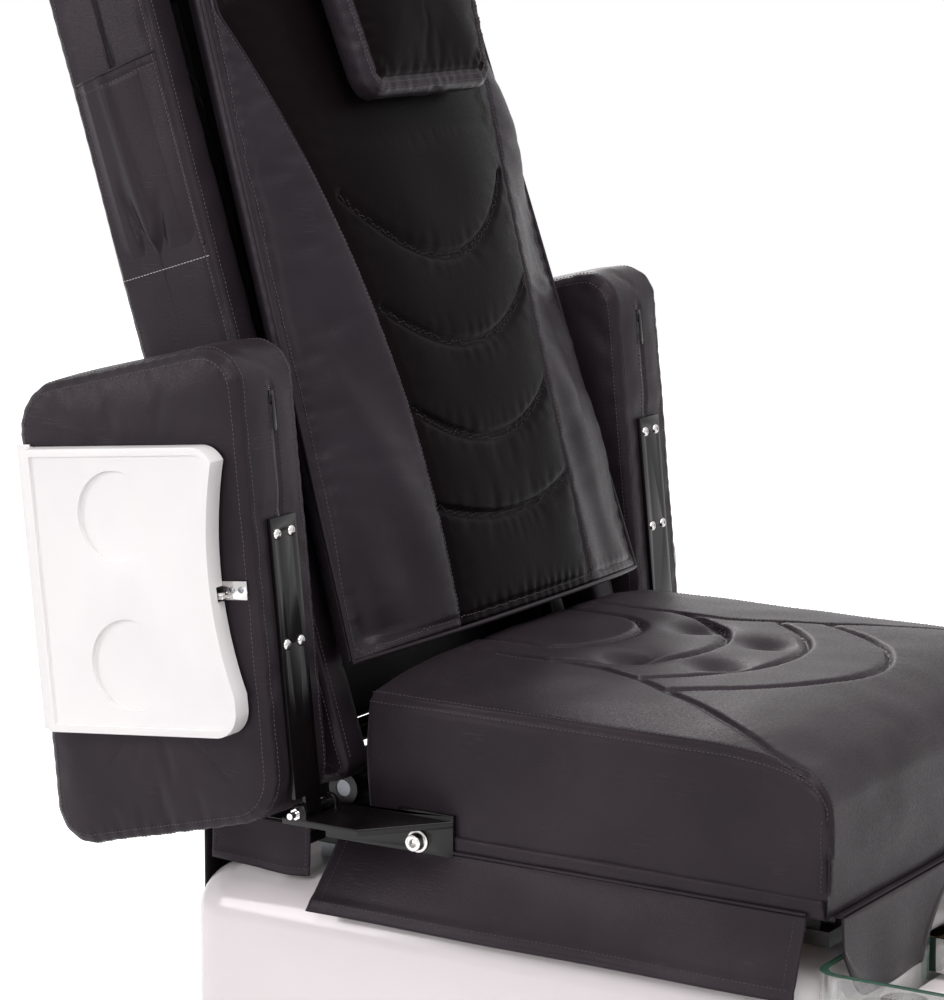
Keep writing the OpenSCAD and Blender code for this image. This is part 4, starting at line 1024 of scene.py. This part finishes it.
def side_rings(side):
    face = [(0.050 * (1 - k / 9) ** 1.3 + 0.0035, 0.0403) for k in range(9)]
    stack = face + [(0.0018, 0.0392), (0.0004, 0.0370), (0.0, 0.0335), (0.0, 0.022), (0.0, 0.010),
                    (0.0008, 0.003)]
    stack += [(0.004, 0.0), (0.02, 0.0), (0.045, 0.0)]
    return [[back_place(side * (0.230 + depth), n, s) for n, s in side_outline(inset)]
            for inset, depth in stack]


def side_held(co):
    x, n, s = from_back(co).T
    return (np.abs(x) < 0.232) | (n < 0.004) & (np.abs(x) > 0.262) | (n > 0.108) | (s < -0.085)


for side, label in ((-1, "right"), (1, "left")):
    panel = place_piece("back_side_upholstery_" + label,
                        ring_shape("back_side_upholstery_" + label, side_rings(side), BLACK_LEATHER),
                        "back")
    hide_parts("back_side_" + label)
    swell(panel, side_held, cap=0.0025, slack=0.006, pressure=3.0)
    finer(panel)
    rumpled(panel, lambda p: folds(p, 0.09, 0.0012, (1, 1, 0.5), 9.0) if p.z > 0.62 else 0.0)
    rim = [back_place(side * 0.2692, n, s) for n, s in side_outline(0.0018)]
    pressed(panel, [rim + [rim[0]]], depth=0.0014, width=0.0024, pucker=0.0003)
    row = [back_place(side * 0.2703, n, s) for n, s in side_outline(0.0075)]
    front = [back_place(side * 0.262, 0.0, s / 1000) for s in range(-70, 760, 20)]
    sewn("back_side_stitches_" + label, panel, [row + [row[0]], front], "back", PALE_THREAD, radius=0.0004)
    if side < 0:
        across = [back_place(-0.2705, n / 1000, 0.412) for n in (6, 40, 80, 105)]
        sewn("pocket_base_stitches", panel, [across], "back", WHITE_THREAD, pitch=0.0036, length=0.0034,
             radius=0.0005)
print("side panels made")

# %% [markdown]
# A patch pocket is sewn to the near side panel along its two long edges and its pleated foot. Its mouth
# stays open, so it is a sheet that stands away from the panel, more at the mouth than at the foot.

# %% Side pocket
def pocket_point(u, v):
    """u runs from the front edge to the rear, v from the foot to the mouth."""
    swelling = math.sin(math.pi * min(1, max(0, u))) ** 0.45 * (0.0045 + 0.0075 * v ** 0.7)
    ridge = 0.0040 * math.exp(-((u - 0.52 - 0.08 * v) / 0.07) ** 2) * (1 - 0.4 * v)
    pleat_u = 0.60 + 0.30 * min(v, 0.35)
    valley = -0.0085 * math.exp(-((u - pleat_u) / 0.055) ** 2) * max(0, 1 - v / 0.55) ** 1.2
    valley -= 0.0070 * math.exp(-((u - 0.47 + 0.45 * v) / 0.05) ** 2) * max(0, 1 - v / 0.35) ** 1.1
    bag = max(0.0004, swelling + ridge + valley) * min(1, 6 * u, 6 * (1 - u)) + 0.0004
    sag = 0.010 * u * (1 - u) * v
    return back_place(-0.2712 - bag * min(1.0, 8 * v + 0.1), 0.005 + 0.100 * u,
                      0.4235 + 0.181 * v - sag + 0.008 * (1 - u) * v - 0.004 * v)


rows = [[pocket_point(u / 70, v / 90) for u in range(71)] for v in range(91)]
pocket = sheet_piece("side_pocket_cloth", rows, 0.0012, "back", BLACK_LEATHER, offset=1.0)
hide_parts("side_pocket")
mouth = [pocket_point(u / 70, 0.945) for u in range(1, 70)]
edges = [[pocket_point(u, v / 60) for v in range(1, 60)] for u in (0.03, 0.97)]
pressed(pocket, [mouth], depth=0.0009, width=0.0016)
sewn("pocket_stitches", pocket, [mouth] + edges, "back", PALE_THREAD, radius=0.0004)
welt("pocket_mouth_edge", [pocket_point(u / 40, 1.0) for u in range(41)], 0.0013, "back", BLACK_LEATHER)
print("pocket mouth stands off", round((-0.2703 - pocket_point(0.5, 1.0).x) * 1000, 1), "mm")

# %% [markdown]
# The massage cover is the piece that a customer sees first. Two wings of leathercloth are joined to a
# satin middle panel, which is crossed by four curved channels. The grid's columns follow the two long
# seams, so that the change of skin falls exactly on a row of faces.

# %% Cover sizes
COVER_LOW, COVER_TOP = 0.014, 0.745
ARCS = [(0.108, 0.022), (0.184, 0.042), (0.278, 0.050), (0.365, 0.075)]


def cover_half(s):
    return 0.265 - 0.040 * (s - COVER_LOW) / (COVER_TOP - COVER_LOW)


def panel_half(s):
    return min(0.121 + 0.104 * (max(0.0, s - 0.120) / 0.530) ** 2, cover_half(s) - 0.014)


def cover_n(x, s):
    """How far the cover's face stands in front of the back."""
    part = max(0.0, (s - COVER_LOW) / (COVER_TOP - COVER_LOW))
    bulge = 0.038 + 0.012 * math.sin(math.pi * min(1, part) ** 0.8)
    return -0.034 - bulge * (1 - min(1, abs(x) / cover_half(s)) ** 2.6)


def cover_point(x, s, lift=0.0):
    return back_place(x, cover_n(x, s) - lift, s)


INNER, OUTER = 64, 16
cover_columns = ([("wing", -k / OUTER) for k in range(OUTER, 0, -1)]
                 + [("panel", 2 * k / INNER - 1) for k in range(INNER + 1)]
                 + [("wing", k / OUTER) for k in range(1, OUTER + 1)])


def cover_x(column, s):
    kind, t = column
    if kind == "panel":
        return t * panel_half(s)
    return math.copysign(panel_half(s) + (cover_half(s) - panel_half(s)) * abs(t), t)


def cover_walls(edge):
    """The cover's edge turns back round the foam and is closed behind."""
    local = from_back(np.array([tuple(p) for p in edge]))
    for scale, n, low in ((1.004, -0.0300, 0.000), (1.004, -0.0250, 0.0), (0.996, -0.0215, 0.001),
                          (0.985, -0.019, 0.004), (0.95, -0.010, 0.006), (0.90, -0.0006, 0.008)):
        yield [back_place(x * scale, n, COVER_LOW + low + (s - COVER_LOW) * (1 - 2.2 * low))
               for x, _, s in local]


grid = [[cover_point(cover_x(column, s), s) for column in cover_columns]
        for s in (COVER_LOW + (COVER_TOP - COVER_LOW) * k / 110 for k in range(111))]
cover = place_piece("massage_cover_upholstery",
                    grid_shape("massage_cover_upholstery", grid, cover_walls, COVER_LEATHER),
                    "back")
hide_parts("massage_cover")
cover.data.materials.append(PANEL_LEATHER)
cols = len(cover_columns)
for index in range(110 * (cols - 1)):
    column = index % (cols - 1)
    if OUTER <= column < OUTER + INNER:
        cover.data.polygons[index].material_index = 1
print("cover has", len(cover.data.polygons), "faces")

# %% Cover seams
panel_seams = [[cover_point(side * panel_half(s), s)
                for s in (COVER_LOW + 0.731 * k / 90 for k in range(91))] for side in (-1, 1)]
arc_lines = [[cover_point(panel_half(s0) * t, s0 + dip * (t * t)) for t in (k / 30 - 1 for k in range(61))]
             for s0, dip in ARCS]
cover_edge = ([cover_point(-cover_half(s), s) for s in (COVER_TOP - 0.731 * k / 60 for k in range(61))]
              + [cover_point(cover_half(COVER_LOW) * (k / 30 - 1), COVER_LOW) for k in range(1, 60)]
              + [cover_point(cover_half(s), s) for s in (COVER_LOW + 0.731 * k / 60 for k in range(61))]
              + [cover_point(cover_half(COVER_TOP) * (1 - k / 30), COVER_TOP) for k in range(1, 60)])
held_cover = np.concatenate([dense(line, 0.005) for line in panel_seams + arc_lines + [cover_edge]])


def cover_held(co):
    x, n, s = from_back(co).T
    near = np.zeros(len(co), bool)
    for part in np.array_split(np.arange(len(co)), 60):
        near[part] = np.linalg.norm(co[part, None] - held_cover[None], axis=2).min(1) < 0.0045
    return near | (n > -0.030) | (s > 0.49) & (np.abs(x) < 0.14)


swell(cover, cover_held, cap=0.003, slack=0.003, pressure=3.0)
finer(cover)


def cover_height(point):
    x, n, s = from_back(np.array([tuple(point)]))[0]
    if n > -0.032 or (s > 0.50 and abs(x) < 0.15):
        return 0.0
    wing = max(0.0, abs(x) - panel_half(s)) / 0.06
    edge = min(1.0, (cover_half(s) - abs(x)) / 0.02, (s - COVER_LOW) / 0.02)
    long_folds = (folds((x + 0.25 * s, 0, s), 0.070, 0.0190, (1, 1, 0.40), 2.0)
                  + folds((x, 0, s), 0.03, 0.0010, (1, 1, 0.5), 6.0))
    return edge * (long_folds * min(1.0, wing) + folds((x, 0, s), 0.08, 0.0008, seed=4.0))


rumpled(cover, cover_height)
pressed(cover, panel_seams, depth=0.0040, width=0.0034, pucker=0.0003, spacing=0.018)
pressed(cover, arc_lines, depth=0.0052, width=0.0042, pucker=0.0001, spacing=0.02)
cover_hem = ([cover_point(-cover_half(s) + 0.0085, s)
              for s in (COVER_TOP - 0.010 - 0.711 * k / 60 for k in range(61))]
             + [cover_point((cover_half(COVER_LOW) - 0.0085) * (k / 30 - 1), COVER_LOW + 0.010)
                for k in range(1, 60)]
             + [cover_point(cover_half(s) - 0.0085, s)
                for s in (COVER_LOW + 0.010 + 0.711 * k / 60 for k in range(61))])
pressed(cover, [cover_hem], depth=0.0022, width=0.0028, pucker=0.0004, spacing=0.016)
sewn("cover_hem_stitches", cover, [cover_hem], "back", PALE_THREAD, radius=0.00045)
beside_seams = [[cover_point(math.copysign(panel_half(s) + 0.0045, line[0].x), s)
                 for s in (COVER_LOW + 0.008 + 0.70 * k / 90 for k in range(91))]
                for line in panel_seams]
sewn("cover_seam_stitches", cover, beside_seams, "back", PALE_THREAD, radius=0.0004)
sewn("cover_arc_stitches", cover, arc_lines, "back", THREAD, radius=0.0003, lift=0.0)
welt("cover_welt", cover_edge, 0.0024, "back", COVER_LEATHER, closed=True)
print("cover seams", len(panel_seams) + len(arc_lines))

# %% [markdown]
# The head pillow is a flat bag with a bordered face: a satin panel inside a strip of leathercloth. It
# lies on the cover and narrows downwards.

# %% Head pillow
PILLOW_LOW, PILLOW_H, PILLOW_W = 0.523, 0.200, 0.240
pillow_back = min(cover_n(0, PILLOW_LOW + 0.02 * k) for k in range(11)) - 0.0003


def pillow_ring(inset, depth):
    ring = []
    for p, q in outline(PILLOW_W - 2 * inset, PILLOW_H - 2 * inset, max(0.003, 0.022 - 0.5 * inset), 8, 24):
        ring.append(back_place(p * (1 + 0.22 * q / PILLOW_H), pillow_back - depth,
                               PILLOW_LOW + PILLOW_H / 2 + q))
    return ring


def pillow_rings():
    stack = [(0.085, 0.0), (0.05, 0.0), (0.016, 0.0), (0.004, 0.004), (0.0006, 0.008), (0.0, 0.013),
             (0.0, 0.022), (0.001, 0.0285)]
    stack += [(0.004, 0.0315), (0.008, 0.0325), (0.0125, 0.0325), (0.016, 0.0335)]
    stack += [(0.016 + 0.078 * k / 12, 0.0335 + 0.0075 * math.sin(math.pi / 2 * k / 12) ** 0.8)
              for k in range(1, 13)]
    return [pillow_ring(*pair) for pair in stack]


pillow = place_piece("head_pillow_upholstery",
                     ring_shape("head_pillow_upholstery", pillow_rings(), COVER_LEATHER), "back")
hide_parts("head_pillow")
pillow.data.materials.append(PANEL_LEATHER)
border = pillow_ring(0.0155, 0.0333)
for face in pillow.data.polygons:
    x, n, s = from_back(np.array([tuple(face.center)]))[0]
    q = s - PILLOW_LOW - PILLOW_H / 2
    p = x / (1 + 0.22 * q / PILLOW_H)
    if n < pillow_back - 0.030 and abs(p) < PILLOW_W / 2 - 0.0158 and abs(q) < PILLOW_H / 2 - 0.0158:
        face.material_index = 1


def pillow_held(co):
    x, n, s = from_back(co).T
    q = s - PILLOW_LOW - PILLOW_H / 2
    p = np.abs(x) / (1 + 0.22 * q / PILLOW_H)
    border_gap = np.minimum(PILLOW_W / 2 - p, PILLOW_H / 2 - np.abs(q))
    return (n > pillow_back - 0.012) | (np.abs(border_gap - 0.0125) < 0.004) & (n < pillow_back - 0.028)


swell(pillow, pillow_held, cap=0.004, slack=0.006)
finer(pillow)
rumpled(pillow, lambda p: folds(p, 0.05, 0.0008, seed=8.0))
border_line = border + [border[0]]
pressed(pillow, [border_line], depth=0.0026, width=0.0028, pucker=0.0005, spacing=0.017)
outer_seam = pillow_ring(0.0012, 0.0290)
pressed(pillow, [outer_seam + [outer_seam[0]]], depth=0.0012, width=0.0024, pucker=0.0003)
row_out = pillow_ring(0.0065, 0.0322)
row_in = pillow_ring(0.0120, 0.0325)
sewn("pillow_stitches", pillow, [row_out + [row_out[0]], row_in + [row_in[0]]], "back", PALE_THREAD,
     radius=0.0004)
print("pillow stands", round(-pillow_back, 3), "m in front of the back")

# %% [markdown]
# The back's rear is a board under thin foam, covered in the same cloth and joined to the side panels
# by a welt. The cover on top of the back is one strip with it.

# %% Rear panel
def rear_ring(inset, n):
    return [back_place(p, n, 0.3575 + q)
            for p, q in outline(0.4594 - 2 * inset, 0.815 - 2 * inset, 0.006, 3, 40)]


rear_stack = [(0.12, 0.1005), (0.02, 0.1003), (0.0, 0.1008), (0.0, 0.106), (0.0010, 0.1095), (0.004, 0.1118)]
rear_stack += [(0.004 + 0.2 * k / 14, 0.1118 + 0.004 * math.sin(math.pi / 2 * k / 14)) for k in range(1, 15)]
rear = place_piece("back_panel_upholstery",
                   ring_shape("back_panel_upholstery", [rear_ring(*pair) for pair in rear_stack],
                              COVER_LEATHER), "back")
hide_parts("back_panel")
finer(rear)
rumpled(rear, lambda p: folds(p, 0.10, 0.0012, seed=12.0))
rear_seams = [[back_place(x, 0.1150, s / 1000) for s in range(-44, 762, 10)] for x in (-0.12, 0.12)]
rear_seams += [[back_place(x / 1000, 0.1150, 0.30) for x in range(-224, 225, 8)]]
pressed(rear, rear_seams, depth=0.0020, width=0.0035, pucker=0.0003)
sewn("back_panel_stitches", rear, [beside(line, (0.004, 0, 0)) if k < 2 else beside(line, (0, 0, 0.004))
                                   for k, line in enumerate(rear_seams)],
     "back", PALE_THREAD, radius=0.0004)
top_rings = [[back_place(p, 0.058 + q, 0.745 + h)
              for p, q in outline(0.4594 - 2 * inset, 0.100 - 2 * inset, 0.006, 3, 20)]
             for inset, h in ((0.02, 0.0), (0.0, 0.001), (0.0, 0.014), (0.0015, 0.018), (0.006, 0.0200),
                              (0.020, 0.0205), (0.040, 0.0208))]
top_strip = place_piece("back_top_upholstery", ring_shape("back_top_upholstery", top_rings, COVER_LEATHER),
                        "back")
finer(top_strip)
print("rear panel has", len(rear.data.polygons), "faces")

# %% [markdown]
# The footrest is a firm pad on a tilting bracket: one block of foam in a cover with a seam round its
# edge. Two rubber bosses under it turn on the bracket's bar.

# %% Footrest pad
REST_Y, REST_Z = -0.5, 0.47


def rest_ring(inset, height):
    return [(p, REST_Y + q, REST_Z + height)
            for p, q in outline(0.320 - 2 * inset, 0.120 - 2 * inset, max(0.003, 0.030 - 0.6 * inset), 8, 20)]


rest_stack = [(0.055, 0.018), (0.03, 0.018), (0.011, 0.018), (0.004, 0.021), (0.0005, 0.026), (0.0, 0.034),
              (0.0008, 0.042), (0.004, 0.0490), (0.009, 0.0530)]
rest_stack += [(0.009 + 0.048 * k / 9, 0.0530 + 0.009 * math.sin(math.pi / 2 * k / 9)) for k in range(1, 10)]
rest = place_piece("footrest_upholstery",
                   ring_shape("footrest_upholstery", [rest_ring(*pair) for pair in rest_stack],
                              BLACK_LEATHER), "footrest")
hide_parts("footrest_pad")


def rest_held(co):
    return (co[:, 2] < REST_Z + 0.0185) | (np.abs(co[:, 2] - REST_Z - 0.042) < 0.002)


swell(rest, rest_held, cap=0.003, slack=0.01)
finer(rest)
rest_seam = rest_ring(0.0008, 0.042)
pressed(rest, [rest_seam + [rest_seam[0]]], depth=0.0014, width=0.0024, pucker=0.0004)
row = rest_ring(0.0, 0.037)
sewn("footrest_stitches", rest, [row + [row[0]]], "footrest", PALE_THREAD, radius=0.0004)
for k, x in enumerate((-0.055, 0.055)):
    rings = []
    for step in (-0.012, 0.012):
        ring = [(x + step, REST_Y + 0.013 * math.cos(t), REST_Z + 0.013 * math.sin(t))
                for t in (math.pi * (1 + j / 12) for j in range(13))]
        rings.append(ring + [(x + step, REST_Y + 0.013, REST_Z + 0.0195),
                             (x + step, REST_Y - 0.013, REST_Z + 0.0195)])
    boss = place_piece("footrest_boss_%d" % k, ring_shape("footrest_boss_%d" % k, rings, RUBBER),
                       "footrest")
    ease = boss.modifiers.new("ease", "BEVEL")
    ease.width, ease.segments, ease.limit_method = 0.0012, 2, "ANGLE"
    baked(boss)
print("footrest pad top", round(REST_Z + 0.062, 3))

# %% [markdown]
# The tub is moulded in one piece. Its CAD mesh already has the right radii, so it is only joined, eased
# a little at the foot and shaded smoothly.

# %% Moulded tub
tub = eased("base_shell", GELCOAT, 0.0015)
print("tub has", len(tub.data.polygons), "faces")

# %% [markdown]
# Every bar is held by four dome-head screws with a cross recess. One Geometry Nodes tree turns a small
# lathe-made head to the bar's face and sets one on each point. The hinges have smaller, zinc-plated ones,
# and their darker plate is also painted shade: chrome would mirror the white studio, and these heads stay
# dark.

# %% Screw head and tree
def screw_head(radius, height):
    """A low dome with a cross cut into it, made on the XY plane and pointing up."""
    work = bmesh.new()
    rings = []
    for k in range(5):
        turn = math.radians(90 * k / 5)
        rings.append([work.verts.new((radius * math.cos(turn) * math.cos(t),
                                      radius * math.cos(turn) * math.sin(t),
                                      height * math.sin(turn)))
                      for t in (2 * math.pi * j / 24 for j in range(24))])
    for a, b in zip(rings, rings[1:]):
        for j in range(24):
            work.faces.new((a[j], a[(j + 1) % 24], b[(j + 1) % 24], b[j]))
    work.faces.new(rings[-1])
    work.faces.new(rings[0][::-1])
    arm, half = radius * 0.46, radius * 0.11
    cross = [(arm, half), (half, half), (half, arm), (-half, arm), (-half, half), (-arm, half),
             (-arm, -half), (-half, -half), (-half, -arm), (half, -arm), (half, -half), (arm, -half)]
    mesh = bpy.data.meshes.new("screw_head")
    bmesh.ops.recalc_face_normals(work, faces=work.faces)
    work.to_mesh(mesh)
    work.free()
    cutter = bpy.data.meshes.new("cross_recess")
    n = len(cross)
    cutter.from_pydata([(x, y, height * 0.35) for x, y in cross] + [(x, y, height * 2) for x, y in cross], [],
                       [tuple(range(n))[::-1], tuple(range(n, 2 * n))]
                       + [(j, (j + 1) % n, n + (j + 1) % n, n + j) for j in range(n)])
    head, tool = (bpy.data.objects.new(m.name, m) for m in (mesh, cutter))
    for piece in (head, tool):
        bpy.context.scene.collection.objects.link(piece)
    cut = head.modifiers.new("recess", "BOOLEAN")
    cut.object, cut.operation, cut.solver = tool, "DIFFERENCE", "EXACT"
    baked(head)
    bpy.data.objects.remove(tool)
    head.data.materials.clear()
    head.data.materials.append(CHROME)
    head.data.shade_smooth()
    head.data.set_sharp_from_angle(angle=math.radians(40))
    return head


screw_set = bpy.data.node_groups.new("screw_set", "GeometryNodeTree")
screw_set.interface.new_socket(name="Places", in_out="INPUT", socket_type="NodeSocketGeometry")
screw_set.interface.new_socket(name="Screw", in_out="INPUT", socket_type="NodeSocketObject")
screw_set.interface.new_socket(name="Facing", in_out="INPUT", socket_type="NodeSocketVector")
screw_set.interface.new_socket(name="Plating", in_out="INPUT", socket_type="NodeSocketMaterial")
screw_set.interface.new_socket(name="Screws", in_out="OUTPUT", socket_type="NodeSocketGeometry")
given = screw_set.nodes.new("NodeGroupInput").outputs
head_info = add(screw_set, "GeometryNodeObjectInfo", {"Object": given["Screw"]})
facing = add(screw_set, "FunctionNodeAlignRotationToVector", {"Vector": given["Facing"]}, axis="Z")
index = add(screw_set, "GeometryNodeInputIndex")
quarter = add(screw_set, "ShaderNodeMath", {0: index.outputs[0], 1: 0.7}, operation="MULTIPLY")
spin = add(screw_set, "ShaderNodeCombineXYZ", {"Z": quarter.outputs[0]})
turn = add(screw_set, "FunctionNodeRotateRotation",
           {"Rotation": facing.outputs[0], "Rotate By": spin.outputs[0]}, rotation_space="LOCAL")
heads = add(screw_set, "GeometryNodeInstanceOnPoints",
            {"Points": given["Places"], "Instance": head_info.outputs["Geometry"],
             "Rotation": turn.outputs[0]})
whole = add(screw_set, "GeometryNodeRealizeInstances", {"Geometry": heads.outputs[0]})
plated = add(screw_set, "GeometryNodeSetMaterial",
             {"Geometry": whole.outputs[0], "Material": given["Plating"]})
result = screw_set.nodes.new("NodeGroupOutput")
screw_set.links.new(plated.outputs[0], result.inputs[0])


def screws(name, head, places, facing_way, body, node, plating=CHROME):
    points = bpy.data.meshes.new(name + "_places")
    points.from_pydata([tuple(p) for p in places], [], [])
    piece = grown(name, points, screw_set, body,
                  {"Screw": head, "Facing": tuple(facing_way), "Plating": plating})
    piece.data.set_sharp_from_angle(angle=math.radians(40))
    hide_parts(node)
    return piece


# %% Bar, tray and hinge screws
bar_head = screw_head(0.0052, 0.0029)
tray_head = screw_head(0.0030, 0.0016)
out_of_bar = arm_place(0, -1, 0) - arm_place(0, 0, 0)
for side, label in ((-1, "right"), (1, "left")):
    places = [arm_place(side * (0.34 + dx), -0.0190, a) for a in (-0.147, -0.248) for dx in (-0.0112, 0.0112)]
    screws("bar_screws_" + label, bar_head, places, out_of_bar, "arm_" + label, "plate_screws_" + label)
    places = [arm_place(side * 0.3909, 0.231, a) for a in (-0.3065, -0.1915, -0.0755)]
    places += [arm_place(side * 0.3906, w, -0.1915) for w in (-0.002, 0.008)]
    # The hinge screws' darker zinc plate is partly painted shade, which keeps the small heads dark instead of
    # mirroring the white studio
    screws("hinge_screws_" + label, tray_head, places, Vector((side, 0, 0)), "arm_" + label,
           "tray_screws_" + label, ZINC)
for head in (bar_head, tray_head):
    bpy.data.objects.remove(head)
eased("bracket_bolts", CHROME, 0.0006)
print("screws set")

# %% [markdown]
# The studio is a flat pale floor, four soft lamps and a plain world. The floor and the world are white
# to the camera and to shiny surfaces, and softer to everything else, so the leather keeps its depth.
# The chair's shadow still falls on the floor.

# %% World
def white_rays(tree):
    """A node that is 1 for camera, transmission and glossy rays, and 0 for all others."""
    path = add(tree, "ShaderNodeLightPath")
    seen = add(tree, "ShaderNodeMath", {0: path.outputs["Is Camera Ray"],
                                        1: path.outputs["Is Transmission Ray"]},
               operation="MAXIMUM")
    return add(tree, "ShaderNodeMath", {0: seen.outputs[0], 1: path.outputs["Is Glossy Ray"]},
               operation="MAXIMUM")


world = bpy.data.worlds.new("studio")
bpy.context.scene.world = world
world.use_nodes = True
tree = world.node_tree
backdrop = tree.nodes["Background"]
seen = white_rays(tree)
soft = add(tree, "ShaderNodeBackground", {"Color": linear("ffffff"), "Strength": 0.34})
plain = add(tree, "ShaderNodeBackground", {"Color": linear("ffffff"), "Strength": 1.0})
mixed = add(tree, "ShaderNodeMixShader", {0: seen.outputs[0], 1: soft.outputs[0], 2: plain.outputs[0]})
tree.links.new(mixed.outputs[0], tree.nodes["World Output"].inputs["Surface"])
tree.nodes.remove(backdrop)
print("world", world.name)

# %% Floor and lamps
floor_mesh = bpy.data.meshes.new("floor")
floor_mesh.from_pydata([(-6, -6, 0), (6, -6, 0), (6, 6, 0), (-6, 6, 0)], [], [(0, 1, 2, 3)])
floor = bpy.data.objects.new("floor", floor_mesh)
bpy.context.scene.collection.objects.link(floor)
FLOOR, tree, shader = finish("pale_studio_floor", Base_Color=linear("f4f4f4"), Roughness=0.8)
seen = white_rays(tree)
# Near the chair the floor keeps its shadow, and further out it fades to plain white
place = add(tree, "ShaderNodeTexCoord").outputs["Object"]
away = add(tree, "ShaderNodeVectorMath", {0: place}, operation="LENGTH")
glow = add(tree, "ShaderNodeMapRange", {"Value": away.outputs["Value"], "From Min": 0.9, "From Max": 2.2,
                                        "To Min": 0.42, "To Max": 1.0})
lift = add(tree, "ShaderNodeMath", {0: seen.outputs[0], 1: glow.outputs[0]}, operation="MULTIPLY")
shader.inputs["Emission Color"].default_value = linear("ffffff")
tree.links.new(lift.outputs[0], shader.inputs["Emission Strength"])
floor_mesh.materials.append(FLOOR)


def lamp(name, place, aim, size, power):
    light = bpy.data.lights.new(name, "AREA")
    light.color = linear("fffafb")[:3]
    light.shape, light.size, light.size_y, light.energy = "RECTANGLE", size[0], size[1], power
    thing = bpy.data.objects.new(name, light)
    thing.location = place
    thing.rotation_mode = "QUATERNION"
    thing.rotation_quaternion = (Vector(aim) - Vector(place)).to_track_quat("-Z", "Y")
    bpy.context.scene.collection.objects.link(thing)
    return thing


lamp("top_softbox", (-0.6, -0.6, 3.2), (0, 0.1, 0.7), (1.6, 1.6), 42)
lamp("left_softbox", (-3.5, -0.3, 2.4), (0, 0.1, 0.8), (1.0, 1.2), 37)
lamp("rear_softbox", (-2.4, 2.3, 1.7), (0, 0.2, 0.8), (0.9, 1.4), 26)
lamp("far_strip", (2.4, 2.0, 2.2), (0, 0.2, 0.7), (0.7, 1.6), 14)
bpy.context.scene.view_settings.view_transform = "Standard"
